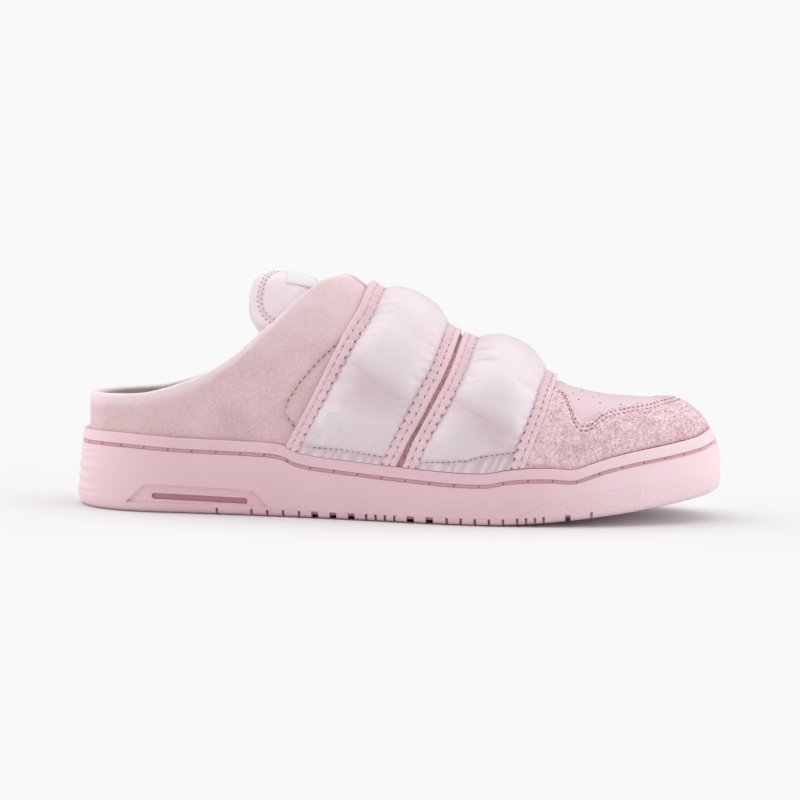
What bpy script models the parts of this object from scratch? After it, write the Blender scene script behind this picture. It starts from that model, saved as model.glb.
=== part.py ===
"""Sneaker mule: one right shoe, a low padded upper on a cup sole, with two puffed straps.

Metres, +Z up. The origin is on the floor under the heel, +X points to the toe and +Y to the
inner side of the foot. Lengths in the tables are shares of the sizes that their notes name.
"""

from collections import namedtuple
from math import acos, asin, cos, pi, sin, sqrt

import bmesh
import bpy
from mathutils import Vector

# Driving sizes of the last and the sole
UPPER_LENGTH = 0.261
BALL_WIDTH = 0.087
INSTEP_HEIGHT = 0.100
HEEL_REST = 0.040
SOLE_FLARE = 0.0046
TOE_SET_BACK = 0.025
TOE_SPRING = 0.0120
CLEARANCE = 0.0003
LAP_GAP = 0.0005

# Upper and what lies in it
WALL = 0.0022
COLLAR_PAD = 0.0048
THROAT_HALF_WIDTH = 0.009
INSOLE_THICKNESS = 0.0045
TONGUE_THICKNESS = 0.0048
TONGUE_EDGE_THICKNESS = 0.0026
LABEL_LENGTH = 0.0120
LABEL_WIDTH = 0.0240
LABEL_THICKNESS = 0.0008

# Overlays on the upper
GUARD_THICKNESS = 0.0012
STRAP_THICKNESS = 0.0017
BINDING_WIDTH = 0.0060
BINDING_THICKNESS = 0.0020

# Sole
RIM_WIDTH = 0.0022
RIM_ROUND = 0.0006
GROOVE_DROP = 0.0050
GROOVE_WIDTH = 0.0018
GROOVE_DEPTH = 0.0008
RIB_COUNT = 4
RIB_DEPTH = 0.0008
PANEL_DEPTH = 0.0008
SLOT_DEPTH = 0.0014
CUT_DEPTH = 0.0028
CUT_REACH = 0.0130

MERGE = 0.000001
HEEL_BACK = SOLE_FLARE - HEEL_REST
SOLE_LENGTH = UPPER_LENGTH + 2 * SOLE_FLARE

# The last. along: share of UPPER_LENGTH. centre, width: shares of half BALL_WIDTH.
# feather, ridge, floor: shares of INSTEP_HEIGHT. fullness: power of the section's oval.
Section = namedtuple("Section", "along centre width feather ridge floor fullness")
SECTIONS = (
    Section(0.000, 0.000, 0.715, 0.240, 0.960, 0.180, 2.60),
    Section(0.130, 0.000, 0.720, 0.238, 0.985, 0.180, 2.50),
    Section(0.250, -0.012, 0.735, 0.230, 1.000, 0.176, 2.30),
    Section(0.350, -0.040, 0.750, 0.208, 1.012, 0.160, 2.15),
    Section(0.415, -0.062, 0.775, 0.190, 1.005, 0.139, 2.10),
    Section(0.436, -0.068, 0.788, 0.184, 0.972, 0.132, 2.10),
    Section(0.455, -0.074, 0.800, 0.179, 0.932, 0.127, 2.10),
    Section(0.490, -0.080, 0.832, 0.171, 0.874, 0.118, 2.10),
    Section(0.540, -0.080, 0.885, 0.161, 0.806, 0.108, 2.10),
    Section(0.600, -0.068, 0.945, 0.154, 0.733, 0.102, 2.10),
    Section(0.675, -0.022, 0.995, 0.152, 0.646, 0.100, 2.15),
    Section(0.740, 0.030, 1.000, 0.160, 0.570, 0.107, 2.20),
    Section(0.785, 0.066, 1.000, 0.168, 0.528, 0.115, 2.30),
    Section(0.830, 0.100, 1.000, 0.180, 0.506, 0.126, 2.40),
    Section(0.870, 0.128, 1.000, 0.194, 0.502, 0.139, 2.40),
    Section(0.910, 0.152, 1.000, 0.212, 0.500, 0.155, 2.40),
    Section(0.950, 0.170, 1.000, 0.236, 0.495, 0.176, 2.40),
    Section(1.000, 0.190, 1.000, 0.275, 0.490, 0.205, 2.40),
)
HEEL_ROUND = 0.130
HEEL_SQUARE = 2.2
TOE_ROUND = 0.300
TOE_SQUARE = 2.05
LEAN_START = 0.72
TOP_NARROWING = 0.55

# Edge of the collar up to the ear. along: share of UPPER_LENGTH.
# share: height between the feather line and the ridge.
Edge = namedtuple("Edge", "along share")
COLLAR = (
    Edge(0.000, 0.300),
    Edge(0.063, 0.305),
    Edge(0.098, 0.313),
    Edge(0.128, 0.335),
    Edge(0.164, 0.376),
    Edge(0.198, 0.427),
    Edge(0.224, 0.482),
    Edge(0.250, 0.548),
    Edge(0.278, 0.638),
    Edge(0.305, 0.718),
    Edge(0.330, 0.808),
    Edge(0.358, 0.890),
    Edge(0.377, 0.942),
    Edge(0.404, 0.969),
)
EAR = 0.404
THROAT_END = 0.710

# The collar's pad. end, fade: shares of UPPER_LENGTH. low, rise: shares of the wall's height.
PAD_END = 0.26
PAD_FADE = 0.12
PAD_LOW = 0.3
PAD_RISE = 0.5
CROWN_LIFT = 0.35

# Top of the sole's rim. along: share of UPPER_LENGTH. height: share of INSTEP_HEIGHT.
Rim = namedtuple("Rim", "along height")
RIM = (
    Rim(0.000, 0.318),
    Rim(0.050, 0.321),
    Rim(0.162, 0.307),
    Rim(0.300, 0.299),
    Rim(0.328, 0.290),
    Rim(0.345, 0.268),
    Rim(0.370, 0.254),
    Rim(0.437, 0.237),
    Rim(0.547, 0.216),
    Rim(0.620, 0.207),
    Rim(0.645, 0.208),
    Rim(0.678, 0.224),
    Rim(0.707, 0.232),
    Rim(0.742, 0.234),
    Rim(0.780, 0.229),
    Rim(0.798, 0.243),
    Rim(0.829, 0.271),
    Rim(0.876, 0.300),
    Rim(0.939, 0.330),
    Rim(0.975, 0.350),
    Rim(1.000, 0.375),
)

# Side of the sole. rise: share of the height up to the stitch groove. proud: share of SOLE_FLARE.
Side = namedtuple("Side", "rise proud")
SIDE = (
    Side(0.00, 0.40),
    Side(0.05, 0.78),
    Side(0.13, 0.97),
    Side(0.22, 1.00),
    Side(0.60, 0.94),
    Side(0.85, 0.78),
    Side(1.00, 0.64),
)
RIB_LOW = 0.22
RIB_HIGH = 0.90
RIB_FADE = 0.055
SPRING_START = 0.637
SPRING_POWER = 1.6

# Cuts in the tread, row by row. first, last: shares of SOLE_LENGTH. width: metres.
# across: 1 where a cut runs from edge to edge, 0 where it stays at the edges.
Cuts = namedtuple("Cuts", "first last count width across")
TREAD = (
    Cuts(0.235, 0.235, 1, 0.0010, 0),
    Cuts(0.288, 0.361, 4, 0.0010, 0),
    Cuts(0.385, 0.441, 3, 0.0028, 1),
    Cuts(0.464, 0.507, 4, 0.0010, 0),
    Cuts(0.531, 0.560, 2, 0.0030, 1),
    Cuts(0.586, 0.691, 6, 0.0010, 0),
    Cuts(0.704, 0.730, 3, 0.0010, 0),
    Cuts(0.766, 0.766, 1, 0.0022, 1),
    Cuts(0.801, 0.801, 1, 0.0010, 0),
)

# Panel and slot on the sole's side. along: share of SOLE_LENGTH. low, high: of INSTEP_HEIGHT.
Strip = namedtuple("Strip", "along low high")
PANEL = (
    Strip(0.094, 0.040, 0.042),
    Strip(0.103, 0.040, 0.062),
    Strip(0.121, 0.040, 0.113),
    Strip(0.126, 0.040, 0.117),
    Strip(0.250, 0.041, 0.109),
    Strip(0.289, 0.041, 0.100),
    Strip(0.298, 0.041, 0.085),
    Strip(0.312, 0.041, 0.043),
)
SLOT = (
    Strip(0.135, 0.0605, 0.0770),
    Strip(0.138, 0.0565, 0.0810),
    Strip(0.278, 0.0480, 0.0725),
    Strip(0.281, 0.0520, 0.0690),
)
SIDE_STEPS = 3

# Edges of the straps. share: height between feather line and ridge. rear, front: along the upper.
Strap = namedtuple("Strap", "share rear front")
STRAP_REAR = (
    Strap(0.00, 0.319, 0.497),
    Strap(0.10, 0.333, 0.510),
    Strap(0.25, 0.356, 0.527),
    Strap(0.40, 0.378, 0.545),
    Strap(0.55, 0.399, 0.560),
    Strap(0.70, 0.419, 0.575),
    Strap(0.85, 0.437, 0.586),
    Strap(1.00, 0.447, 0.594),
)
STRAP_FRONT = (
    Strap(0.00, 0.508, 0.698),
    Strap(0.10, 0.520, 0.703),
    Strap(0.25, 0.534, 0.711),
    Strap(0.40, 0.551, 0.720),
    Strap(0.55, 0.567, 0.729),
    Strap(0.70, 0.581, 0.737),
    Strap(0.85, 0.591, 0.744),
    Strap(1.00, 0.598, 0.753),
)
REAR_PUFF = 0.0048
FRONT_PUFF = 0.0058
PUFF_START = 0.10
PUFF_FULL = 0.55
PUFF_ROUND = 0.7

# Share of the guard's length that its notch takes
GUARD_NOTCH = 0.38

# How finely the bodies are divided
SOLE_STATIONS = 28
WALL_ROWS = 8
STRAP_ROWS = 10
STRAP_COLUMNS = 6
BINDING_COLUMNS = 2
TONGUE_ROWS = 10
NOTCH_STEPS = 12
GUARD_STEPS = 10
GUARD_ROWS = 4
FOLLOW_STEPS = 12

# Upper edge of the toe guard. along: share of UPPER_LENGTH. share: as in the collar's table.
GUARD = (
    Edge(0.700, 0.940),
    Edge(0.755, 0.937),
    Edge(0.768, 0.912),
    Edge(0.775, 0.857),
    Edge(0.782, 0.770),
    Edge(0.791, 0.691),
    Edge(0.800, 0.663),
    Edge(0.810, 0.673),
    Edge(0.821, 0.719),
    Edge(0.835, 0.781),
    Edge(0.854, 0.823),
    Edge(0.893, 0.867),
    Edge(0.941, 0.901),
    Edge(0.970, 0.935),
    Edge(1.000, 0.965),
)

# Tongue. along: share of UPPER_LENGTH. depth: below the last's ridge, a share of INSTEP_HEIGHT.
# spread: how far its edges reach round the section, from the ridge 0 to the feather line 1.
Tongue = namedtuple("Tongue", "along depth spread")
TONGUE = (
    Tongue(0.250, 0.010, 0.60),
    Tongue(0.290, 0.015, 0.60),
    Tongue(0.329, 0.035, 0.58),
    Tongue(0.367, 0.065, 0.54),
    Tongue(0.390, 0.078, 0.50),
    Tongue(0.425, 0.068, 0.46),
    Tongue(0.448, 0.045, 0.43),
    Tongue(0.470, 0.028, 0.42),
    Tongue(0.690, 0.027, 0.40),
)
TONGUE_TOE_END = 0.690
TONGUE_FLAT = 0.25
TONGUE_FALL = 0.5
HEM_RAMP = 4
SIDE_RAMP = 3
LABEL_START = 0.318

# Free end of the tongue. across: share of its half width. along: share of UPPER_LENGTH.
End = namedtuple("End", "across along")
TONGUE_END = (
    End(0.00, 0.290),
    End(0.20, 0.275),
    End(0.40, 0.263),
    End(0.60, 0.259),
    End(0.80, 0.265),
    End(1.00, 0.295),
)

# Colours, roughness
Finish = namedtuple("Finish", "red green blue roughness")
RUBBER = Finish(0.76, 0.56, 0.53, 0.55)
NUBUCK = Finish(0.72, 0.50, 0.47, 0.85)
SUEDE = Finish(0.60, 0.40, 0.37, 0.95)
SATIN = Finish(0.83, 0.66, 0.64, 0.35)
TAPE = Finish(0.74, 0.54, 0.51, 0.60)
KNIT = Finish(0.66, 0.57, 0.56, 0.90)
PALE = Finish(0.86, 0.80, 0.78, 0.50)


def clear_scene():
    """Remove the objects of the start-up file."""
    for item in list(bpy.data.objects):
        bpy.data.objects.remove(item, do_unlink=True)


def ease(value):
    """Smooth step from 0 to 1."""
    value = min(1.0, max(0.0, value))
    return value * value * (3 - 2 * value)


def mix(start, end, share):
    """The value that lies at a share of the way from start to end."""
    return start + (end - start) * share


def smooth(rows, name, at):
    """Read a column of a table at a value of its first column, on a curve with no overshoot."""
    keys = [row[0] for row in rows]
    values = [getattr(row, name) for row in rows]
    if at <= keys[0]:
        return values[0]
    if at >= keys[-1]:
        return values[-1]
    slopes = [(values[i + 1] - values[i]) / (keys[i + 1] - keys[i]) for i in range(len(keys) - 1)]
    tangents = [slopes[0]]
    for before, after in zip(slopes, slopes[1:]):
        turns = before * after <= 0
        tangents.append(0.0 if turns else 2 * before * after / (before + after))
    tangents.append(slopes[-1])
    cell = max(i for i in range(len(slopes)) if keys[i] <= at)
    span = keys[cell + 1] - keys[cell]
    t = (at - keys[cell]) / span
    return (
        (2 * t**3 - 3 * t**2 + 1) * values[cell]
        + (t**3 - 2 * t**2 + t) * tangents[cell] * span
        + (3 * t**2 - 2 * t**3) * values[cell + 1]
        + (t**3 - t**2) * tangents[cell + 1] * span
    )


def straight(rows, name, at):
    """Read a column of a table at a value of its first column, on straight lines."""
    for row, after in zip(rows, rows[1:]):
        if at <= after[0]:
            reach = max(0.0, (at - row[0]) / (after[0] - row[0]))
            return mix(getattr(row, name), getattr(after, name), reach)
    return getattr(rows[-1], name)


def half_width(along):
    """Half the width of the last at its feather line, round at the heel and the toe."""
    width = BALL_WIDTH / 2 * smooth(SECTIONS, "width", along)
    if along < HEEL_ROUND:
        width *= (1 - (1 - along / HEEL_ROUND) ** HEEL_SQUARE) ** (1 / HEEL_SQUARE)
    if along > 1 - TOE_ROUND:
        reach = min(1.0, (along - 1 + TOE_ROUND) / TOE_ROUND)
        width *= (1 - reach**TOE_SQUARE) ** (1 / TOE_SQUARE)
    return width


def toe_lean(along, share):
    """How far the toe's face leans back at a share of its height."""
    return TOE_SET_BACK * (1 - sqrt(1 - share * share)) * ease((along - LEAN_START) / (1 - LEAN_START))


def feather_height(along):
    """Height of the line where the upper turns down into the cup of the sole."""
    return INSTEP_HEIGHT * smooth(SECTIONS, "feather", along)


def ridge_height(along):
    """Height of the last's top, which leans back with the toe."""
    behind = along - toe_lean(along, 1.0) / UPPER_LENGTH
    return INSTEP_HEIGHT * smooth(SECTIONS, "ridge", behind)


def floor_height(along):
    """Height of the floor in the cup of the sole."""
    return INSTEP_HEIGHT * smooth(SECTIONS, "floor", along)


def rim_height(along):
    """Height of the top of the sole's rim."""
    return INSTEP_HEIGHT * smooth(RIM, "height", along)


def turn_of(along, share):
    """The turn from feather line 0 to ridge 1 that lies at a share of the height."""
    power = smooth(SECTIONS, "fullness", along)
    return asin(min(1.0, max(0.0, share)) ** (power / 2)) * 2 / pi


def share_of(along, height):
    """The share of the way from feather line to ridge at which a height lies."""
    low = feather_height(along)
    return (height - low) / (ridge_height(along) - low)


def last_surface(place, around):
    """Point of the last. place runs from heel 0 to toe 1, around from the outer feather line -1
    over the ridge 0 to the inner feather line 1, and both may run on past their ends."""
    if place < 0:
        place, around = -place, -around
    if place > 1:
        place, around = 2 - place, -around
    along = (1 - cos(pi * place)) / 2
    side = -1 if around < 0 else 1
    turn = min(1.0, max(0.0, 1 - abs(around)))
    power = smooth(SECTIONS, "fullness", along)
    share = sin(pi / 2 * turn) ** (2 / power)
    inward = max(0.0, cos(pi / 2 * turn)) ** (2 / power)
    centre = BALL_WIDTH / 2 * smooth(SECTIONS, "centre", along) * (1 - TOP_NARROWING * share)
    low = feather_height(along)
    return Vector((
        HEEL_BACK + UPPER_LENGTH * along - toe_lean(along, share),
        centre + side * half_width(along) * inward,
        low + (ridge_height(along) - low) * share,
    ))


def on_last(along, around, proud=0.0):
    """Point of the last's surface, moved out from it by proud."""
    place = acos(1 - 2 * min(1.0, max(0.0, along))) / pi
    point = last_surface(place, around)
    if proud == 0.0:
        return point
    step = 0.004
    limit = 1 - 2 * step
    middle = min(limit, max(-limit, around))
    lengthwise = last_surface(place + step, middle) - last_surface(place - step, middle)
    sideways = last_surface(place, middle + step) - last_surface(place, middle - step)
    normal = lengthwise.cross(sideways).normalized()
    if abs(around) > limit:
        normal.z = 0.0
        normal.normalize()
    return point + normal * proud


def beside_last(along, side, height, out):
    """Point at a height, level with the last's surface and moved out from it by out."""
    share = share_of(along, height)
    around = side * (1 - turn_of(along, share))
    point = on_last(along, around)
    away = on_last(along, around, 1.0) - point
    away.z = 0.0
    point += away.normalized() * out
    point.z = height
    return point


def stations(count, extra=()):
    """Places from heel 0 to toe 1, closer at both ends, with some extra ones put in."""
    gap = 0.45 / count
    evenly = [(1 - cos(pi * step / count)) / 2 for step in range(count + 1)]
    kept = [at for at in evenly if at in (0.0, 1.0) or all(abs(at - other) > gap for other in extra)]
    return sorted(kept + list(extra))


def shared_stations():
    """Stations of the upper and the sole, which run along each other."""
    rounding = THROAT_HALF_WIDTH / UPPER_LENGTH
    throat = (THROAT_END - rounding, THROAT_END - rounding * 0.4, THROAT_END)
    instep = (0.328, 0.347, 0.377, EAR, 0.426, 0.445, 0.463, 0.485)
    toe = (0.735, 0.757, 0.780, 0.798, 0.820, 0.845)
    return stations(SOLE_STATIONS, instep + (0.620, 0.645) + throat + toe)


def around_columns(alongs):
    """Pairs of along and side, from the heel up the outer side to the toe and back."""
    outer = [(along, -1) for along in alongs]
    inner = [(along, 1) for along in reversed(alongs[1:-1])]
    return outer + inner


def add_skin(mesh, rows):
    """Join rows of points, all of one length, with four-sided faces."""
    rings = [[mesh.verts.new(point) for point in row] for row in rows]
    for lower, upper in zip(rings, rings[1:]):
        for left in range(len(lower) - 1):
            mesh.faces.new((lower[left], lower[left + 1], upper[left + 1], upper[left]))


def add_cap(mesh, ring):
    """Close a ring that runs up one side and back on the other with strips between the sides."""
    count = len(ring) // 2
    points = [mesh.verts.new(point) for point in ring]
    for step in range(count):
        corners = (points[step], points[step + 1], points[-step - 1], points[-step])
        if step == 0:
            corners = corners[:3]
        if step == count - 1:
            corners = (points[step], points[step + 1], points[-step])
        mesh.faces.new(corners)


def make_material(name, finish):
    """A plain surface in one colour."""
    material = bpy.data.materials.new(name)
    material.use_nodes = True
    shader = material.node_tree.nodes["Principled BSDF"]
    shader.inputs["Base Color"].default_value = (finish.red, finish.green, finish.blue, 1.0)
    shader.inputs["Roughness"].default_value = finish.roughness
    shader.inputs["Metallic"].default_value = 0.0
    return material


def make_object(name, mesh, finish, collection):
    """Weld the faces into one closed body and put it in the collection."""
    bmesh.ops.remove_doubles(mesh, verts=mesh.verts, dist=MERGE)
    bmesh.ops.recalc_face_normals(mesh, faces=mesh.faces)
    data = bpy.data.meshes.new(name)
    mesh.to_mesh(data)
    mesh.free()
    data.shade_smooth()
    data.set_sharp_from_angle(angle=pi / 5)
    item = bpy.data.objects.new(name, data)
    data.materials.append(make_material(name, finish))
    collection.objects.link(item)
    return item


def make_patch(name, front, back, finish, collection):
    """A thin body between two grids of points, closed along its four edges."""
    mesh = bmesh.new()
    add_skin(mesh, front)
    add_skin(mesh, back)
    add_skin(mesh, (front[0], back[0]))
    add_skin(mesh, (front[-1], back[-1]))
    add_skin(mesh, ([row[0] for row in front], [row[0] for row in back]))
    add_skin(mesh, ([row[-1] for row in front], [row[-1] for row in back]))
    return make_object(name, mesh, finish, collection)


def make_rings(name, rings, finish, collection):
    """A body of closed rings, with the first and the last ring capped."""
    mesh = bmesh.new()
    add_skin(mesh, [ring + ring[:1] for ring in rings])
    add_cap(mesh, rings[0])
    add_cap(mesh, rings[-1])
    return make_object(name, mesh, finish, collection)


def tread_height(x):
    """Height of the sole's underside: flat, then sprung up to the toe."""
    start = SOLE_LENGTH * SPRING_START - HEEL_REST
    reach = max(0.0, (x - start) / (SOLE_LENGTH * (1 - SPRING_START)))
    return TOE_SPRING * reach**SPRING_POWER


def side_point(along, side, rise):
    """Point on the sole's side at a share of the height up to the stitch groove."""
    proud = SOLE_FLARE * smooth(SIDE, "proud", rise)
    if RIB_LOW < rise < RIB_HIGH:
        wave = sin(pi * RIB_COUNT * (rise - RIB_LOW) / (RIB_HIGH - RIB_LOW)) ** 2
        proud -= RIB_DEPTH * (1 - wave) * (1 - ease(along / RIB_FADE))
    point = beside_last(along, side, feather_height(along), proud)
    low = tread_height(point.x)
    point.z = mix(low, rim_height(along) - GROOVE_DROP - GROOVE_WIDTH / 2, rise)
    return point


def make_sole(collection, cutters):
    """Cup sole: flared side with heel ribs, stitch groove, rim and a hollow for the upper."""
    columns = around_columns(shared_stations())
    rib_steps = 2 * RIB_COUNT
    rises = [0.0, 0.05, 0.13]
    rises += [mix(RIB_LOW, RIB_HIGH, step / rib_steps) for step in range(rib_steps + 1)]
    rings = [[side_point(along, side, rise) for along, side in columns] for rise in rises]
    groove_face = SOLE_FLARE * SIDE[-1].proud
    groove_low = GROOVE_DROP + GROOVE_WIDTH / 2
    groove_high = GROOVE_DROP - GROOVE_WIDTH / 2
    steps = (
        (groove_low, groove_face),
        (groove_low, groove_face - GROOVE_DEPTH),
        (groove_high, groove_face - GROOVE_DEPTH),
        (groove_high, groove_face),
        (RIM_ROUND, RIM_WIDTH + RIM_ROUND / 2),
        (0.0, RIM_WIDTH),
        (0.0, CLEARANCE),
    )
    for drop, out in steps:
        rings.append([beside_last(along, side, rim_height(along) - drop, out) for along, side in columns])
    for share in (0.67, 0.33, 0.0):
        rings.append([
            beside_last(along, side, mix(feather_height(along), rim_height(along), share), CLEARANCE)
            for along, side in columns
        ])
    rings.append([beside_last(along, side, floor_height(along), CLEARANCE) for along, side in columns])
    sole = make_rings("sole", rings, RUBBER, collection)
    cut_sole(sole, "tread_cuts", tread_cutter(), cutters)
    cut_sole(sole, "side_panels", side_cutter(PANEL, PANEL_DEPTH), cutters)
    cut_sole(sole, "side_slots", side_cutter(SLOT, PANEL_DEPTH + SLOT_DEPTH), cutters)


def cut_sole(sole, name, mesh, cutters):
    """Take a cutter's shapes out of the sole."""
    cutter = make_object(name, mesh, RUBBER, cutters)
    cutter.hide_render = True
    cutter.display_type = "WIRE"
    boolean = sole.modifiers.new(name, "BOOLEAN")
    boolean.operation = "DIFFERENCE"
    boolean.solver = "EXACT"
    boolean.object = cutter


def add_box(mesh, low, high):
    """A box between two corners."""
    made = bmesh.ops.create_cube(mesh, size=1.0)
    for vertex in made["verts"]:
        vertex.co = [mix(low[axis], high[axis], vertex.co[axis] + 0.5) for axis in range(3)]


def tread_cutter():
    """Boxes for the cuts in the tread, from the edges in or from edge to edge."""
    mesh = bmesh.new()
    beyond = 2 * SOLE_FLARE
    for row in TREAD:
        for step in range(row.count):
            share = mix(row.first, row.last, step / max(1, row.count - 1))
            x = SOLE_LENGTH * share - HEEL_REST
            along = (x - HEEL_BACK) / UPPER_LENGTH
            bottom = tread_height(x)
            outer = beside_last(along, -1, feather_height(along), 0.0).y
            inner = beside_last(along, 1, feather_height(along), 0.0).y
            spans = [(outer - beyond, outer + CUT_REACH), (inner - CUT_REACH, inner + beyond)]
            if row.across:
                spans = [(outer - beyond, inner + beyond)]
            for start, end in spans:
                low = (x - row.width / 2, start, bottom - CUT_DEPTH)
                high = (x + row.width / 2, end, bottom + CUT_DEPTH)
                add_box(mesh, low, high)
    return mesh


def side_cutter(strips, depth):
    """A body on each side of the sole that follows its curve, as deep as asked into it."""
    starts = [strip.along for strip in strips]
    gaps = [(end - start) / SIDE_STEPS for start, end in zip(starts, starts[1:])]
    alongs = [start + gap * step for start, gap in zip(starts, gaps) for step in range(SIDE_STEPS)]
    mesh = bmesh.new()
    for side in (-1, 1):
        rings = []
        for share in alongs + starts[-1:]:
            x = SOLE_LENGTH * share - HEEL_REST
            along = (x - HEEL_BACK) / UPPER_LENGTH
            ring = []
            heights = [INSTEP_HEIGHT * straight(strips, name, share) for name in ("low", "high")]
            for height, out in zip(heights + heights[::-1], (-depth, -depth, SOLE_FLARE, SOLE_FLARE)):
                point = beside_last(along, side, feather_height(along), SOLE_FLARE + out)
                ring.append((x, point.y, height))
            rings.append(ring + ring[:1])
        add_skin(mesh, rings)
        add_cap(mesh, rings[0][:-1])
        add_cap(mesh, rings[-1][:-1])
    return mesh


def opening_turn(along):
    """Turn at which the upper ends: at the collar's edge, the throat's edge or the ridge."""
    if along >= THROAT_END:
        return 1.0
    if along <= EAR:
        return turn_of(along, smooth(COLLAR, "share", along))
    rounding = THROAT_HALF_WIDTH / UPPER_LENGTH
    reach = max(0.0, (along - THROAT_END + rounding) / rounding)
    gap = THROAT_HALF_WIDTH * sqrt(1 - reach * reach)
    power = smooth(SECTIONS, "fullness", along)
    return acos((gap / half_width(along)) ** (power / 2)) * 2 / pi


def wall_depth(along, turn):
    """Thickness of the upper's wall, which is padded along the collar."""
    padded = 1 - ease((along - PAD_END) / PAD_FADE)
    near_edge = ease((turn / opening_turn(along) - PAD_LOW) / PAD_RISE)
    return mix(WALL, COLLAR_PAD, padded * near_edge)


def upper_column(along, side, turns):
    """Points of one column of the upper, outside and inside, from the cup's floor upwards."""
    limit = opening_turn(along)
    outside = []
    inside = []
    for share in turns:
        turn = limit * share
        outside.append(on_last(along, side * (1 - turn)))
        inside.append(on_last(along, side * (1 - turn), -wall_depth(along, turn)))
    for column in (outside, inside):
        foot = column[0].copy()
        foot.z = floor_height(along) + CLEARANCE
        column.insert(0, foot)
    return outside, inside


def make_upper(collection):
    """Hollow upper: one wall from the cup's floor to the collar, the throat and the toe."""
    alongs = shared_stations()
    turns = [step / WALL_ROWS for step in range(WALL_ROWS + 1)]
    order = [(along, -1) for along in reversed(alongs)] + [(along, 1) for along in alongs[1:]]
    outside = []
    inside = []
    for along, side in order:
        outer, inner = upper_column(along, side, turns)
        outside.append(outer)
        inside.append(inner)
    mesh = bmesh.new()
    add_skin(mesh, outside)
    add_skin(mesh, inside)
    add_skin(mesh, ([column[0] for column in outside], [column[0] for column in inside]))
    edge = [column for column in range(len(order)) if order[column][0] <= THROAT_END]
    crown = []
    for column in edge:
        outer, inner = outside[column][-1], inside[column][-1]
        rise = (outer - outside[column][-2]).normalized()
        lift = 0.0 if order[column][0] == THROAT_END else (outer - inner).length * CROWN_LIFT
        crown.append((outer + inner) / 2 + rise * lift)
    add_skin(mesh, (
        [outside[column][-1] for column in edge],
        crown,
        [inside[column][-1] for column in edge],
    ))
    make_object("upper", mesh, NUBUCK, collection)


def make_insole(collection):
    """Flat sock on the floor of the cup, inside the upper's wall."""
    columns = around_columns(shared_stations())
    inset = -WALL - CLEARANCE
    rings = []
    for rise in (CLEARANCE, CLEARANCE + INSOLE_THICKNESS):
        rings.append([
            beside_last(along, side, feather_height(along), inset)
            + Vector((0.0, 0.0, floor_height(along) + rise - feather_height(along)))
            for along, side in columns
        ])
    make_rings("insole", rings, KNIT, collection)


def tongue_point(along, across, proud):
    """Point above the tongue's top face, across from its outer edge -1 to its inner edge 1."""
    spread = smooth(TONGUE, "spread", along)
    depth = INSTEP_HEIGHT * smooth(TONGUE, "depth", along)
    around = across * spread
    under_wall = wall_depth(along, min(1 - abs(around), opening_turn(along))) + 2 * CLEARANCE
    edge = ease((abs(across) - TONGUE_FLAT) / TONGUE_FALL)
    return on_last(along, around, proud - mix(depth, max(depth, under_wall), edge))


def tongue_end(across):
    """Where the tongue's free end lies at a share of its half width."""
    return smooth(TONGUE_END, "along", abs(across))


def make_tongue(collection):
    """Padded tongue that stands out of the collar and runs forward under the straps."""
    front = []
    back = []
    for row in range(TONGUE_ROWS + 1):
        front.append([])
        back.append([])
        for column in range(TONGUE_ROWS + 1):
            across = 2 * column / TONGUE_ROWS - 1
            along = mix(tongue_end(across), TONGUE_TOE_END, row / TONGUE_ROWS)
            rim = min(1.0, HEM_RAMP * row / TONGUE_ROWS) * min(1.0, SIDE_RAMP * (1 - abs(across)))
            thickness = mix(TONGUE_EDGE_THICKNESS, TONGUE_THICKNESS, rim)
            front[-1].append(tongue_point(along, across, 0.0))
            back[-1].append(tongue_point(along, across, -thickness))
    make_patch("tongue", front, back, TAPE, collection)


def make_label(collection):
    """Blank tab on the middle of the tongue."""
    front = []
    back = []
    for row in range(4):
        along = LABEL_START + LABEL_LENGTH / UPPER_LENGTH * row / 3
        reach = LABEL_WIDTH / 2 / (half_width(along) * pi / 2 * smooth(TONGUE, "spread", along))
        places = [reach * (column / 3 - 1) for column in range(7)]
        front.append([tongue_point(along, across, CLEARANCE + LABEL_THICKNESS) for across in places])
        back.append([tongue_point(along, across, CLEARANCE) for across in places])
    make_patch("tongue_label", front, back, PALE, collection)


def hem_turn(along):
    """Turn just above the sole's rim."""
    return turn_of(along, share_of(along, rim_height(along) + LAP_GAP))


def share_at(along, turn):
    """Share of the height between feather line and ridge that a turn reaches."""
    return sin(pi / 2 * turn) ** (2 / smooth(SECTIONS, "fullness", along))


def strap_grid(table, lines, columns, proud, puff=0.0):
    """Grid of points from one hem over the ridge to the other, between two lines that keep
    their distance from the strap's rear or front edge."""
    grid = []
    for row in range(-STRAP_ROWS, STRAP_ROWS + 1):
        grid.append([])
        side = -1 if row < 0 else 1
        for column in range(columns + 1):
            across = column / columns
            share = 0.0
            for _ in range(FOLLOW_STEPS):
                ends = [smooth(table, edge, share) + inset / UPPER_LENGTH for edge, inset in lines]
                along = mix(ends[0], ends[1], across)
                turn = mix(1.0, hem_turn(along), abs(row) / STRAP_ROWS)
                share = share_at(along, turn)
            swell = max(0.0, sin(pi * across)) ** PUFF_ROUND * ease((share - PUFF_START) / PUFF_FULL)
            grid[-1].append(on_last(along, side * (1 - turn), proud + puff * swell))
    return grid


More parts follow.
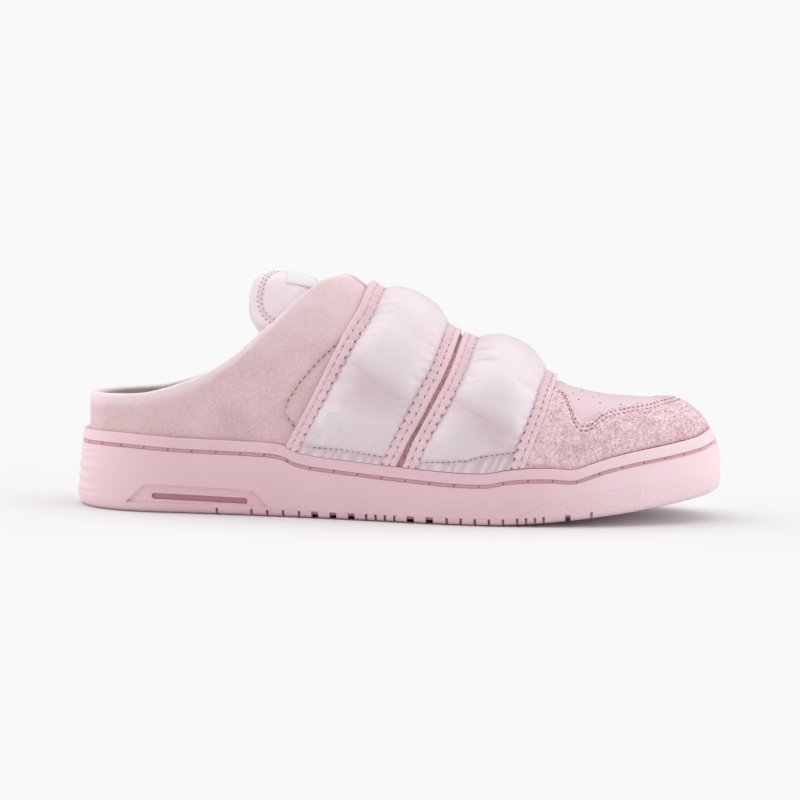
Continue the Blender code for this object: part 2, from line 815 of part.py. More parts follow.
def make_strap(name, table, puff, collection):
    """A puffed strap over the instep, with a bound edge at its back and its front."""
    inset = BINDING_WIDTH + CLEARANCE
    pad = (("rear", inset), ("front", -inset))
    front = strap_grid(table, pad, STRAP_COLUMNS, LAP_GAP + STRAP_THICKNESS, puff)
    back = strap_grid(table, pad, STRAP_COLUMNS, LAP_GAP)
    make_patch(name, front, back, SATIN, collection)
    for edge, shift in (("rear", BINDING_WIDTH), ("front", -BINDING_WIDTH)):
        tape = ((edge, 0.0), (edge, shift))
        front = strap_grid(table, tape, BINDING_COLUMNS, LAP_GAP + BINDING_THICKNESS)
        back = strap_grid(table, tape, BINDING_COLUMNS, LAP_GAP)
        make_patch(name + "_binding_" + edge, front, back, TAPE, collection)


def guard_column(reach, side, shares, proud):
    """Column of the toe guard, at a reach from the strap's edge 0 to the tip of the toe 1."""
    points = []
    for share_up in shares:
        share = 0.5
        for _ in range(FOLLOW_STEPS):
            start = smooth(STRAP_FRONT, "front", share) + 2 * CLEARANCE / UPPER_LENGTH
            along = mix(start, 1.0, reach)
            high = turn_of(along, smooth(GUARD, "share", along))
            turn = mix(hem_turn(along), high, share_up)
            share = share_at(along, turn)
        points.append(on_last(along, side * (1 - turn), proud))
    return points


def make_guard(collection):
    """Toe guard: a band round the toe box from strap to strap, above the rim."""
    reaches = [GUARD_NOTCH * step / NOTCH_STEPS for step in range(NOTCH_STEPS)]
    reaches += [
        mix(GUARD_NOTCH, 1.0, sin(pi / 2 * step / GUARD_STEPS)) for step in range(GUARD_STEPS + 1)
    ]
    shares = [step / GUARD_ROWS for step in range(GUARD_ROWS + 1)]
    order = [(reach, -1) for reach in reaches] + [(reach, 1) for reach in reversed(reaches[:-1])]
    front = [guard_column(reach, side, shares, LAP_GAP + GUARD_THICKNESS) for reach, side in order]
    back = [guard_column(reach, side, shares, LAP_GAP) for reach, side in order]
    make_patch("toe_guard", front, back, SUEDE, collection)


def make_collection(name):
    """A collection in the scene."""
    collection = bpy.data.collections.new(name)
    bpy.context.scene.collection.children.link(collection)
    return collection


def main():
    """Build the shoe, piece by piece."""
    clear_scene()
    shoe = make_collection("sneaker_mule")
    cutters = make_collection("cutters")
    make_sole(shoe, cutters)
    make_upper(shoe)
    make_insole(shoe)
    make_tongue(shoe)
    make_label(shoe)
    make_guard(shoe)
    make_strap("strap_rear", STRAP_REAR, REAR_PUFF, shoe)
    make_strap("strap_front", STRAP_FRONT, FRONT_PUFF, shoe)


main()
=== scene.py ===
"""Sneaker mule: the finished look of one right shoe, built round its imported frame.

Metres, +Z up. The origin is on the floor under the heel, +X points to the toe and +Y to the
inner side of the foot. Lengths in the tables are shares of the sizes that their notes name,
or metres where the notes say so.
"""

from collections import namedtuple
from math import cos, pi, radians, sin

import bmesh
import bpy
import numpy as np
from mathutils import Matrix, Vector


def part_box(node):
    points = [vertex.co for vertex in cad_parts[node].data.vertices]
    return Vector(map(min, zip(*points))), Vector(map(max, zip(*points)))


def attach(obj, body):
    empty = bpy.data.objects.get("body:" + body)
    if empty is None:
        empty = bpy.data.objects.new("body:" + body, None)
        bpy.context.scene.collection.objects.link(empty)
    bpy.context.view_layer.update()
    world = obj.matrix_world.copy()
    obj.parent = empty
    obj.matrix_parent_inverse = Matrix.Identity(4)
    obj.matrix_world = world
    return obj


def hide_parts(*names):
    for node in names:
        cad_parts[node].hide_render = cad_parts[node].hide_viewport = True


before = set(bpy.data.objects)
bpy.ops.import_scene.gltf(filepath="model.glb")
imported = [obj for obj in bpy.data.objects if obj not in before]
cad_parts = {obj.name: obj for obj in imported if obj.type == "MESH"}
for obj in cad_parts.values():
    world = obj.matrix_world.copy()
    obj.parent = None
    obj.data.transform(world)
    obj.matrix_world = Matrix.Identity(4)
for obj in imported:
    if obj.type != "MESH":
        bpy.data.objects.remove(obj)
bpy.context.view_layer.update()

# The sole is a cup of pink rubber, moulded in one piece: a flared side with ribs round the heel,
# a groove that copies a seam, a sunk panel with a slot on each side, and cuts across the tread.
# The upper is glued into the cup, so the shape of the last, which both share, starts here.
MM = 0.001
UPPER_LOW, UPPER_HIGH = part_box("upper")
SOLE_LOW, SOLE_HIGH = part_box("sole")
HEEL_BACK = UPPER_LOW.x
UPPER_LENGTH = UPPER_HIGH.x - UPPER_LOW.x
SOLE_LENGTH = SOLE_HIGH.x - SOLE_LOW.x
SOLE_FLARE = (SOLE_LENGTH - UPPER_LENGTH) / 2
BALL_WIDTH = 87 * MM
INSTEP_HEIGHT = 100 * MM
TOE_SET_BACK = 25 * MM
TOE_SPRING = 12 * MM
CLEARANCE = 0.3 * MM
LAP_GAP = 0.5 * MM
RIM_WIDTH = 2.2 * MM
RIM_ROUND = 0.6 * MM
GROOVE_DROP = 5.0 * MM
GROOVE_WIDTH = 1.8 * MM
GROOVE_DEPTH = 0.8 * MM
RIB_COUNT = 4
RIB_DEPTH = 0.6 * MM
PANEL_DEPTH = 0.8 * MM
SLOT_DEPTH = 1.4 * MM
# Painted shade in the side slots, which lie deeper than the panels.
SLOT_SHADE = 0.55
CUT_DEPTH = 2.8 * MM
CUT_REACH = 0.8 * MM
WIDE_REACH = 1.2 * MM
WIDE_RISE = 0.45
MIDDLE_NARROWING = 0.98
MERGE = 0.001 * MM
SHARP_ANGLE = radians(38)


def table(columns, *rows):
    """Rows of values that can be read by their column's name."""
    kind = namedtuple("Row", columns)
    return tuple(kind(*row) for row in rows)


# The last. along: share of UPPER_LENGTH. centre, width: shares of half BALL_WIDTH.
# feather, ridge, floor: shares of INSTEP_HEIGHT. fullness: power of the section's oval.
SECTIONS = table(
    "along centre width feather ridge floor fullness",
    (0.000, 0.000, 0.715, 0.240, 0.960, 0.180, 2.60),
    (0.130, 0.000, 0.720, 0.238, 0.985, 0.180, 2.50),
    (0.250, -0.012, 0.735, 0.230, 1.000, 0.176, 2.30),
    (0.350, -0.040, 0.750, 0.208, 1.012, 0.160, 2.15),
    (0.415, -0.062, 0.775, 0.190, 1.005, 0.139, 2.10),
    (0.436, -0.068, 0.788, 0.184, 0.972, 0.132, 2.10),
    (0.455, -0.074, 0.800, 0.179, 0.932, 0.127, 2.10),
    (0.490, -0.080, 0.832, 0.171, 0.874, 0.118, 2.10),
    (0.540, -0.080, 0.885, 0.161, 0.806, 0.108, 2.10),
    (0.600, -0.068, 0.945, 0.154, 0.733, 0.102, 2.10),
    (0.675, -0.022, 0.995, 0.152, 0.646, 0.100, 2.15),
    (0.740, 0.030, 1.000, 0.160, 0.570, 0.107, 2.20),
    (0.785, 0.066, 1.000, 0.168, 0.528, 0.115, 2.30),
    (0.830, 0.100, 1.000, 0.180, 0.506, 0.126, 2.40),
    (0.870, 0.128, 1.000, 0.194, 0.502, 0.139, 2.40),
    (0.910, 0.152, 1.000, 0.212, 0.500, 0.155, 2.40),
    (0.950, 0.170, 1.000, 0.236, 0.495, 0.176, 2.40),
    (1.000, 0.190, 1.000, 0.275, 0.490, 0.205, 2.40),
)
HEEL_ROUND = 0.130
HEEL_SQUARE = 2.2
TOE_ROUND = 0.300
TOE_SQUARE = 2.05
LEAN_START = 0.72
TOP_NARROWING = 0.55

# Top of the sole's rim. along: share of UPPER_LENGTH. height: share of INSTEP_HEIGHT.
RIM = table(
    "along height",
    (0.000, 0.318), (0.050, 0.321), (0.162, 0.307), (0.300, 0.299), (0.328, 0.290),
    (0.345, 0.268), (0.370, 0.254), (0.437, 0.237), (0.547, 0.216), (0.620, 0.207),
    (0.645, 0.208), (0.678, 0.224), (0.707, 0.232), (0.742, 0.234), (0.780, 0.229),
    (0.798, 0.243), (0.829, 0.271), (0.876, 0.300), (0.939, 0.330), (0.975, 0.350),
    (1.000, 0.375),
)

# Side of the sole. rise: share of the height up to the stitch groove. proud: share of SOLE_FLARE.
SIDE = table(
    "rise proud",
    (0.00, 0.40), (0.05, 0.78), (0.13, 0.97), (0.22, 1.00), (0.60, 0.94),
    (0.85, 0.78), (1.00, 0.64),
)
RIB_LOW = 0.22
RIB_HIGH = 0.90
RIB_FADE = 0.055
SPRING_START = 0.637
SPRING_POWER = 1.6

# Cuts in the tread, row by row. first, last: shares of SOLE_LENGTH. width: metres.
# across: 1 where a cut runs from edge to edge, 0 where it stays at the edges.
TREAD = table(
    "first last count width across",
    (0.235, 0.235, 1, 0.0010, 0),
    (0.288, 0.361, 4, 0.0010, 0),
    (0.385, 0.441, 3, 0.0028, 1),
    (0.464, 0.507, 4, 0.0010, 0),
    (0.531, 0.560, 2, 0.0030, 1),
    (0.586, 0.691, 6, 0.0010, 0),
    (0.704, 0.730, 3, 0.0010, 0),
    (0.766, 0.766, 1, 0.0022, 1),
    (0.801, 0.801, 1, 0.0010, 0),
)

# Panel and slot on the sole's side. along: share of SOLE_LENGTH. low, high: of INSTEP_HEIGHT.
PANEL = table(
    "along low high",
    (0.094, 0.040, 0.042),
    (0.103, 0.040, 0.062),
    (0.121, 0.040, 0.113),
    (0.126, 0.040, 0.117),
    (0.250, 0.041, 0.109),
    (0.289, 0.041, 0.100),
    (0.298, 0.041, 0.085),
    (0.312, 0.041, 0.043),
)
SLOT = table(
    "along low high",
    (0.1345, 0.0630, 0.0745),
    (0.1352, 0.0595, 0.0780),
    (0.1380, 0.0565, 0.0810),
    (0.2780, 0.0480, 0.0725),
    (0.2808, 0.0510, 0.0695),
    (0.2815, 0.0545, 0.0660),
)

# Moulded line on the sole's side, which runs low from the panel and climbs round the toe.
# x: share of SOLE_LENGTH from its back. height: share of INSTEP_HEIGHT.
LEDGE = table(
    "x height",
    (0.290, 0.095), (0.312, 0.042), (0.330, 0.029), (0.690, 0.029), (0.710, 0.063),
    (0.724, 0.087), (0.736, 0.103), (0.776, 0.128), (0.813, 0.139), (0.872, 0.160),
    (0.933, 0.183), (1.000, 0.190),
)
LEDGE_START = 0.305
LEDGE_RUN = 0.010
LEDGE_SOFT = 0.35 * MM
PEBBLE_START = 0.735
PEBBLE_RUN = 0.030
PEBBLE_DROP = 1.2 * MM
PEBBLE_SCALE = 1150.0
PANEL_ROUGH = 0.6
ZIGZAG_WIDTH = 9 * MM
ZIGZAG_SCALE = 62.0
ZIGZAG_DEPTH = 1.1 * MM

# Painted light: the sole is painted paler towards its toe and its heel end. start, run: shares of
# SOLE_LENGTH, from which the painted light grows.
TOE_LIGHT_START, TOE_LIGHT_RUN = 0.66, 0.24
HEEL_LIGHT_START, HEEL_LIGHT_RUN = 0.18, 0.14
HEEL_LIGHT_SHARE = 0.45
SOLE_LIGHT_SHARE = 0.6

SOLE_COLUMNS = 170
SIDE_ROWS = 45
GROOVE_ROWS = 9
RIM_ROWS = 7
SIDE_STEPS = 8


def ease(value):
    """Smooth step from 0 to 1."""
    value = np.clip(value, 0.0, 1.0)
    return value * value * (3 - 2 * value)


def mix(start, end, share):
    """The value that lies at a share of the way from start to end."""
    return start + (end - start) * share


def column_of(rows, name):
    """One column of a table."""
    return np.array([getattr(row, name) for row in rows])


def smooth(rows, name, at):
    """Read a column of a table at values of its first column, on a curve with no overshoot."""
    keys = np.array([row[0] for row in rows])
    values = column_of(rows, name)
    slopes = np.diff(values) / np.diff(keys)
    before, after = slopes[:-1], slopes[1:]
    turns = before * after <= 0
    inner = np.where(turns, 0.0, 2 * before * after / np.where(turns, 1.0, before + after))
    tangents = np.concatenate((slopes[:1], inner, slopes[-1:]))
    at = np.clip(at, keys[0], keys[-1])
    cell = np.clip(np.searchsorted(keys, at, side="right") - 1, 0, len(slopes) - 1)
    span = keys[cell + 1] - keys[cell]
    t = (at - keys[cell]) / span
    return (
        (2 * t**3 - 3 * t**2 + 1) * values[cell]
        + (t**3 - 2 * t**2 + t) * tangents[cell] * span
        + (3 * t**2 - 2 * t**3) * values[cell + 1]
        + (t**3 - t**2) * tangents[cell + 1] * span
    )


def half_width(along):
    """Half the width of the last at its feather line, round at the heel and the toe."""
    heel = np.clip(1 - along / HEEL_ROUND, 0.0, 1.0)
    toe = np.clip((along - 1 + TOE_ROUND) / TOE_ROUND, 0.0, 1.0)
    width = BALL_WIDTH / 2 * smooth(SECTIONS, "width", along)
    width = width * (1 - heel**HEEL_SQUARE) ** (1 / HEEL_SQUARE)
    return width * (1 - toe**TOE_SQUARE) ** (1 / TOE_SQUARE)


def toe_lean(along, share):
    """How far the toe's face leans back at a share of its height."""
    bow = 1 - np.sqrt(np.clip(1 - share * share, 0.0, 1.0))
    return TOE_SET_BACK * bow * ease((along - LEAN_START) / (1 - LEAN_START))


def feather_height(along):
    """Height of the line where the upper turns down into the cup of the sole."""
    return INSTEP_HEIGHT * smooth(SECTIONS, "feather", along)


def ridge_height(along):
    """Height of the last's top, which leans back with the toe."""
    return INSTEP_HEIGHT * smooth(SECTIONS, "ridge", along - toe_lean(along, 1.0) / UPPER_LENGTH)


def floor_height(along):
    """Height of the floor in the cup of the sole."""
    return INSTEP_HEIGHT * smooth(SECTIONS, "floor", along)


def rim_height(along):
    """Height of the top of the sole's rim."""
    return INSTEP_HEIGHT * smooth(RIM, "height", along)


def turn_of(along, share):
    """The turn from feather line 0 to ridge 1 that lies at a share of the height."""
    power = smooth(SECTIONS, "fullness", along)
    return np.arcsin(np.clip(share, 0.0, 1.0) ** (power / 2)) * 2 / pi


def share_at(along, turn):
    """Share of the height between feather line and ridge that a turn reaches."""
    return np.sin(pi / 2 * turn) ** (2 / smooth(SECTIONS, "fullness", along))


def share_of(along, height):
    """The share of the way from feather line to ridge at which a height lies."""
    low = feather_height(along)
    return (height - low) / (ridge_height(along) - low)


def last_surface(place, around):
    """Points of the last. place runs from heel 0 to toe 1, around from the outer feather line -1
    over the ridge 0 to the inner feather line 1, and both may run on past their ends."""
    turned = (place < 0) | (place > 1)
    around = np.where(turned, -around, around)
    place = np.where(place < 0, -place, np.where(place > 1, 2 - place, place))
    along = (1 - np.cos(pi * place)) / 2
    side = np.where(around < 0, -1.0, 1.0)
    turn = np.clip(1 - abs(around), 0.0, 1.0)
    share = share_at(along, turn)
    inward = np.clip(np.cos(pi / 2 * turn), 0.0, 1.0) ** (2 / smooth(SECTIONS, "fullness", along))
    centre = BALL_WIDTH / 2 * smooth(SECTIONS, "centre", along) * (1 - TOP_NARROWING * share)
    low = feather_height(along)
    return np.stack((
        HEEL_BACK + UPPER_LENGTH * along - toe_lean(along, share),
        centre + side * half_width(along) * inward,
        low + (ridge_height(along) - low) * share,
    ), axis=-1)


def unit(vectors):
    """Vectors with a length of 1."""
    return vectors / np.maximum(np.linalg.norm(vectors, axis=-1, keepdims=True), 1e-12)


def on_last(along, around, proud=0.0):
    """Points of the last's surface, moved out from it by proud."""
    along, around = np.broadcast_arrays(np.clip(along, 0.0, 1.0), around)
    place = np.arccos(1 - 2 * along) / pi
    step = 0.004
    limit = 1 - 2 * step
    middle = np.clip(around, -limit, limit)
    lengthwise = last_surface(place + step, middle) - last_surface(place - step, middle)
    sideways = last_surface(place, middle + step) - last_surface(place, middle - step)
    normal = unit(np.cross(lengthwise, sideways))
    beyond = abs(around) > limit
    normal[..., 2] = np.where(beyond, 0.0, normal[..., 2])
    return last_surface(place, around) + unit(normal) * np.asarray(proud)[..., None]


def beside_last(along, side, height, out):
    """Points at a height, level with the last's surface and moved out from it by out."""
    around = side * (1 - turn_of(along, share_of(along, height)))
    point = on_last(along, around)
    away = on_last(along, around, 1.0) - point
    away[..., 2] = 0.0
    point = point + unit(away) * np.asarray(out)[..., None]
    point[..., 2] = height
    return point


def tread_height(x):
    """Height of the sole's underside: flat, then sprung up to the toe."""
    start = SOLE_LOW.x + SOLE_LENGTH * SPRING_START
    return TOE_SPRING * np.clip((x - start) / (SOLE_LENGTH * (1 - SPRING_START)), 0.0, 1.0)**SPRING_POWER


def around_columns(count):
    """Pairs of along and side, from the heel up the outer side to the toe and back."""
    alongs = (1 - np.cos(pi * np.linspace(0, 1, count))) / 2
    sides = np.concatenate((-np.ones(count), np.ones(count - 2)))
    return np.concatenate((alongs, alongs[-2:0:-1])), sides


def grid_faces(rows, columns, closed=False, start=0):
    """Four-sided faces between neighbouring rows of points."""
    row, left = np.meshgrid(np.arange(rows - 1), np.arange(columns - (not closed)), indexing="ij")
    right = (left + 1) % columns
    low, high = start + row * columns, start + (row + 1) * columns
    return np.stack((low + left, low + right, high + right, high + left), -1).reshape(-1, 4).tolist()


def cap_faces(ring):
    """Faces that close a ring of point numbers, in strips from its one side to its other."""
    count = len(ring) // 2
    strips = [(ring[i], ring[i + 1], ring[-i - 1], ring[-i]) for i in range(1, count - 1)]
    return [(ring[0], ring[1], ring[-1]), (ring[count - 1], ring[count], ring[count + 1])] + strips


def make_mesh(name, points, faces, edges=()):
    """A mesh from an array of points."""
    mesh = bpy.data.meshes.new(name)
    mesh.from_pydata(np.reshape(points, (-1, 3)).tolist(), edges, faces)
    return mesh


def write_field(mesh, name, values, domain="POINT", kind="FLOAT"):
    """Let a mesh carry a number or a vector at each point or face."""
    marks = mesh.attributes.new(name, kind, domain)
    marks.data.foreach_set("value" if kind == "FLOAT" else "vector", values.astype(np.float32).ravel())


def turn_outward(mesh, weld=0.0):
    """Turn a closed mesh's faces to the outside, and weld points that lie closer than asked."""
    body = bmesh.new()
    body.from_mesh(mesh)
    if weld:
        bmesh.ops.remove_doubles(body, verts=body.verts, dist=weld)
    bmesh.ops.recalc_face_normals(body, faces=body.faces)
    body.to_mesh(mesh)
    body.free()
    return mesh


def make_piece(name, points, faces, materials, slots=None, uv=None, **fields):
    """A mesh object from points and faces, welded, with its faces pointing out."""
    mesh = make_mesh(name, points, faces)
    for material in materials:
        mesh.materials.append(material)
    if slots is not None:
        mesh.polygons.foreach_set("material_index", slots)
    if uv is not None:
        corners = np.empty(len(mesh.loops), dtype=np.int32)
        mesh.loops.foreach_get("vertex_index", corners)
        layer = mesh.uv_layers.new(name="surface")
        layer.uv.foreach_set("vector", uv.reshape(-1, 2)[corners].astype(np.float32).ravel())
    for label, field in fields.items():
        write_field(mesh, label, field)
    turn_outward(mesh, MERGE)
    mesh.shade_smooth()
    mesh.set_sharp_from_angle(angle=SHARP_ANGLE)
    return link(name, mesh)


def link(name, data):
    """An object in the scene for a mesh, a lamp or a camera."""
    piece = bpy.data.objects.new(name, data)
    bpy.context.scene.collection.objects.link(piece)
    return piece


def settle(piece, slot, *nodes):
    """Let a piece ride on the shoe and stand for the frame's solids; its finish, slot, is not used."""
    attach(piece, "root")
    if nodes:
        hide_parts(*nodes)


def srgb(red, green, blue):
    """A colour given in steps of 255, as the light values that Blender reads."""
    steps = np.array((red, green, blue)) / 255
    light = np.where(steps > 0.04045, ((steps + 0.055) / 1.055) ** 2.4, steps / 12.92)
    return (*light.tolist(), 1.0)


def add_node(tree, kind, inputs=None, **settings):
    """Add a node, set its properties, and set or link its inputs."""
    node = tree.nodes.new(kind)
    for name, value in settings.items():
        setattr(node, name, value)
    for name, value in (inputs or {}).items():
        if isinstance(value, bpy.types.NodeSocket):
            tree.links.new(value, node.inputs[name])
        else:
            node.inputs[name].default_value = value
    return node


def maths(tree, operation, first, second=0.0):
    """Output of a Math node."""
    return add_node(tree, "ShaderNodeMath", {0: first, 1: second}, operation=operation).outputs[0]


def blend_colour(tree, share, start, end):
    """Output of a node that mixes two colours."""
    node = add_node(tree, "ShaderNodeMix", {0: share, 6: start, 7: end}, data_type="RGBA")
    return node.outputs[2]


def ramp(tree, value, low, high):
    """A value spread from low 0 to high 1, clamped."""
    inputs = {"Value": value, "From Min": low, "From Max": high}
    return add_node(tree, "ShaderNodeMapRange", inputs, interpolation_type="SMOOTHSTEP").outputs[0]


def noise(tree, place, scale, detail=2.0, rough=0.5):
    """Output of a noise texture."""
    inputs = {"Vector": place, "Scale": scale, "Detail": detail, "Roughness": rough}
    return add_node(tree, "ShaderNodeTexNoise", inputs).outputs["Fac"]


def object_place(tree):
    """The place of a point in its object's own space."""
    return add_node(tree, "ShaderNodeTexCoord").outputs["Object"]


def attribute(tree, name):
    """A value that the mesh carries at its points."""
    return add_node(tree, "ShaderNodeAttribute", attribute_name=name).outputs["Fac"]


def start_group(name, inputs, outputs):
    """A node group with named inputs and outputs."""
    tree = bpy.data.node_groups.new(name, "ShaderNodeTree")
    for label, value in inputs.items():
        kind = "NodeSocketColor" if isinstance(value, tuple) else "NodeSocketFloat"
        socket = tree.interface.new_socket(label, in_out="INPUT", socket_type=kind)
        socket.default_value = value
    for label, kind in outputs.items():
        tree.interface.new_socket(label, in_out="OUTPUT", socket_type=kind)
    return tree, tree.nodes.new("NodeGroupInput").outputs, tree.nodes.new("NodeGroupOutput")


GRAIN_MIDDLE = 0.35


def make_grain_group():
    """Speckle and soft patches of a dyed surface, darkened by painted shade and made paler by painted light
    and worn places.
    """
    colours = {"Colour": (1.0,) * 4, "Dark": (0.5,) * 4, "Pale": (1.0,) * 4}
    amounts = {"Grain scale": 1500.0, "Patch scale": 40.0, "Speckle": 0.5, "Patches": 0.5}
    outputs = {"Colour": "NodeSocketColor", "Height": "NodeSocketFloat", "Patch": "NodeSocketFloat"}
    tree, given, result = start_group("grain", colours | amounts, outputs)
    place = object_place(tree)
    fine = noise(tree, place, given["Grain scale"], 3.0, 0.6)
    patch = noise(tree, place, given["Patch scale"], 3.0, 0.55)
    speckle = maths(tree, "MULTIPLY", maths(tree, "SUBTRACT", fine, 0.5), given["Speckle"])
    cloud = maths(tree, "MULTIPLY", maths(tree, "SUBTRACT", patch, 0.5), given["Patches"])
    share = maths(tree, "ADD", maths(tree, "ADD", speckle, cloud), GRAIN_MIDDLE)
    # This darker mix is painted shade: in slots, seams, channels, stitch rows, folds, gathers, tucks and
    # along the toe guard's foot.
    share = maths(tree, "ADD", share, attribute(tree, "shade"))
    colour = blend_colour(tree, ramp(tree, share, 0.0, 1.0), given["Colour"], given["Dark"])
    # This paler mix is painted light on the sole's ends and the quarter's top, and at the collar's edge
    # partly worn nap, partly painted highlight.
    colour = blend_colour(tree, attribute(tree, "wear"), colour, given["Pale"])
    tree.links.new(colour, result.inputs["Colour"])
    tree.links.new(fine, result.inputs["Height"])
    tree.links.new(patch, result.inputs["Patch"])
    return tree


GRAIN = make_grain_group()


def start_material(name, colours, grain, roughness, **sockets):
    """A material whose colour comes from the grain group, with its even values on the shader."""
    material = bpy.data.materials.new(name)
    material.use_nodes = True
    tree = material.node_tree
    shader = tree.nodes["Principled BSDF"]
    inputs = dict(zip(("Colour", "Dark", "Pale"), [srgb(*colour) for colour in colours])) | grain
    group = add_node(tree, "ShaderNodeGroup", node_tree=GRAIN)
    for label, value in inputs.items():
        group.inputs[label].default_value = value
    tree.links.new(group.outputs["Colour"], shader.inputs["Base Color"])
    for label, value in sockets.items():
        shader.inputs[label.replace("_", " ")].default_value = value
    inputs = {"Value": group.outputs["Patch"], "From Min": 0.3, "From Max": 0.7}
    inputs |= dict(zip(("To Min", "To Max"), roughness))
    spread = add_node(tree, "ShaderNodeMapRange", inputs)
    tree.links.new(spread.outputs[0], shader.inputs["Roughness"])
    return material, tree, shader, group


def add_bump(tree, shader, height, distance, strength=1.0):
    """Let a height shape the shader's normal, on top of what shapes it already."""
    bump = add_node(tree, "ShaderNodeBump", {"Height": height, "Distance": distance, "Strength": strength})
    if shader.inputs["Normal"].is_linked:
        tree.links.new(shader.inputs["Normal"].links[0].from_socket, bump.inputs["Normal"])
    tree.links.new(bump.outputs["Normal"], shader.inputs["Normal"])


def table_curve(tree, value, rows, name, span, height):
    """A table as a curve over a value, where span and height are the curve's sizes."""
    node = add_node(tree, "ShaderNodeFloatCurve", {"Value": maths(tree, "DIVIDE", value, span)})
    points = node.mapping.curves[0].points
    for row in rows[1:-1]:
        points.new(row[0], getattr(row, name) / height)
    points[0].location = (rows[0][0], getattr(rows[0], name) / height)
    points[-1].location = (rows[-1][0], getattr(rows[-1], name) / height)
    for point in points:
        point.handle_type = "VECTOR"
    node.mapping.update()
    return maths(tree, "MULTIPLY", node.outputs[0], height * INSTEP_HEIGHT)


def make_rubber(name, treaded):
    """Matt moulded rubber, pebbled under the moulded line at the toe and in the side panels."""
    # Colour; Dark, which also gives the slots their painted shade; Pale, which gives the sole's ends their
    # painted light.
    colours = ((247, 217, 223), (206, 142, 157), (254, 233, 238))
    grain = {"Grain scale": 900.0, "Patch scale": 30.0, "Speckle": 0.08, "Patches": 0.16}
    look = {"Specular_IOR_Level": 0.5, "Coat_Weight": 0.16, "Coat_Roughness": 0.45}
    material, tree, shader, group = start_material(name, colours, grain, (0.46, 0.58), **look)
    place = object_place(tree)
    parts = add_node(tree, "ShaderNodeSeparateXYZ", {0: place}).outputs
    from_back = maths(tree, "SUBTRACT", parts["X"], SOLE_LOW.x)
    line = table_curve(tree, from_back, LEDGE, "height", SOLE_LENGTH, 0.2)
    under = maths(tree, "SUBTRACT", line, parts["Z"])
    ledge = ramp(tree, under, -LEDGE_SOFT, LEDGE_SOFT)
    starts, ends = (SOLE_LENGTH * share for share in (LEDGE_START, LEDGE_START + LEDGE_RUN))
    ledge = maths(tree, "MULTIPLY", ledge, ramp(tree, from_back, starts, ends))
    cells = add_node(tree, "ShaderNodeTexVoronoi", {"Vector": place, "Scale": PEBBLE_SCALE})
    pebbles = ramp(tree, cells.outputs["Distance"], 0.75, 0.1)
    starts, ends = (SOLE_LENGTH * share for share in (PEBBLE_START, PEBBLE_START + PEBBLE_RUN))
    toe = ramp(tree, from_back, starts, ends)
    toe = maths(tree, "MULTIPLY", toe, ramp(tree, under, 0.0, PEBBLE_DROP))
    panel = maths(tree, "MULTIPLY", attribute(tree, "panel"), PANEL_ROUGH)
    rough = maths(tree, "MULTIPLY", pebbles, maths(tree, "MAXIMUM", toe, panel))
    add_bump(tree, shader, ledge, 0.30 * MM, 0.9)
    add_bump(tree, shader, rough, 0.16 * MM, 0.9)
    add_bump(tree, shader, group.outputs["Height"], 0.03 * MM, 0.5)
    if treaded:
        zigzag = maths(tree, "PINGPONG", parts["Y"], ZIGZAG_WIDTH)
        shifted = maths(tree, "ADD", parts["X"], zigzag)
        shifted = add_node(tree, "ShaderNodeCombineXYZ", {"X": shifted}).outputs[0]
        waves = {"Vector": shifted, "Scale": ZIGZAG_SCALE}
        chevrons = add_node(tree, "ShaderNodeTexWave", waves, wave_type="BANDS", bands_direction="X")
        add_bump(tree, shader, ramp(tree, chevrons.outputs["Fac"], 0.35, 0.65), ZIGZAG_DEPTH)
    return material


def side_points(along, side, rise):
    """Points on the sole's side at a share of the height up to the stitch groove."""
    proud = SOLE_FLARE * smooth(SIDE, "proud", rise)
    inside = (rise > RIB_LOW) & (rise < RIB_HIGH)
    wave = np.sin(pi * RIB_COUNT * (rise - RIB_LOW) / (RIB_HIGH - RIB_LOW)) ** 2
    proud = proud - RIB_DEPTH * (1 - wave) * (1 - ease(along / RIB_FADE)) * inside
    point = beside_last(along, side, feather_height(along), proud)
    top = rim_height(along) - GROOVE_DROP - GROOVE_WIDTH / 2
    point[..., 2] = mix(tread_height(point[..., 0]), top, rise)
    return point


def sole_points():
    """Rings of points up the sole's side, through the groove, over the rim and into the cup."""
    along, side = around_columns(SOLE_COLUMNS)
    low_rises = np.array((0.0, 0.012, 0.028, 0.05, 0.085, 0.13, 0.175))
    rises = np.concatenate((low_rises, np.linspace(RIB_LOW, RIB_HIGH, SIDE_ROWS), (0.95, 1.0)))
    rings = [side_points(along, side, rise) for rise in rises]
    face = SOLE_FLARE * SIDE[-1].proud
    for sweep in np.linspace(-1, 1, GROOVE_ROWS)[1:]:
        drop = GROOVE_DROP - sweep * GROOVE_WIDTH / 2
        depth = GROOVE_DEPTH * (1 - abs(sweep) ** 5)
        rings.append(beside_last(along, side, rim_height(along) - drop, face - depth))
    rim_out = RIM_WIDTH + RIM_ROUND / 2
    for rise in (0.35, 0.7):
        drop = mix(GROOVE_DROP - GROOVE_WIDTH / 2, RIM_ROUND, rise)
        out = mix(face, rim_out, rise**1.5)
        rings.append(beside_last(along, side, rim_height(along) - drop, out))
    for turn in np.linspace(0, pi / 2, RIM_ROWS):
        out = rim_out - RIM_ROUND * (1 - cos(turn))
        rings.append(beside_last(along, side, rim_height(along) - RIM_ROUND * (1 - sin(turn)), out))
    rings.append(beside_last(along, side, rim_height(along), CLEARANCE))
    for share in (0.67, 0.33, 0.0):
        height = mix(feather_height(along), rim_height(along), share)
        rings.append(beside_last(along, side, height, CLEARANCE))
    rings.append(beside_last(along, side, floor_height(along), CLEARANCE))
    return np.array(rings)


def box_points(low, high):
    """The eight corners of a box."""
    return np.stack(np.meshgrid(*zip(low, high), indexing="ij"), -1).reshape(8, 3)


BOX_FACES = ((0, 1, 3, 2), (4, 6, 7, 5), (0, 4, 5, 1), (2, 3, 7, 6), (0, 2, 6, 4), (1, 5, 7, 3))


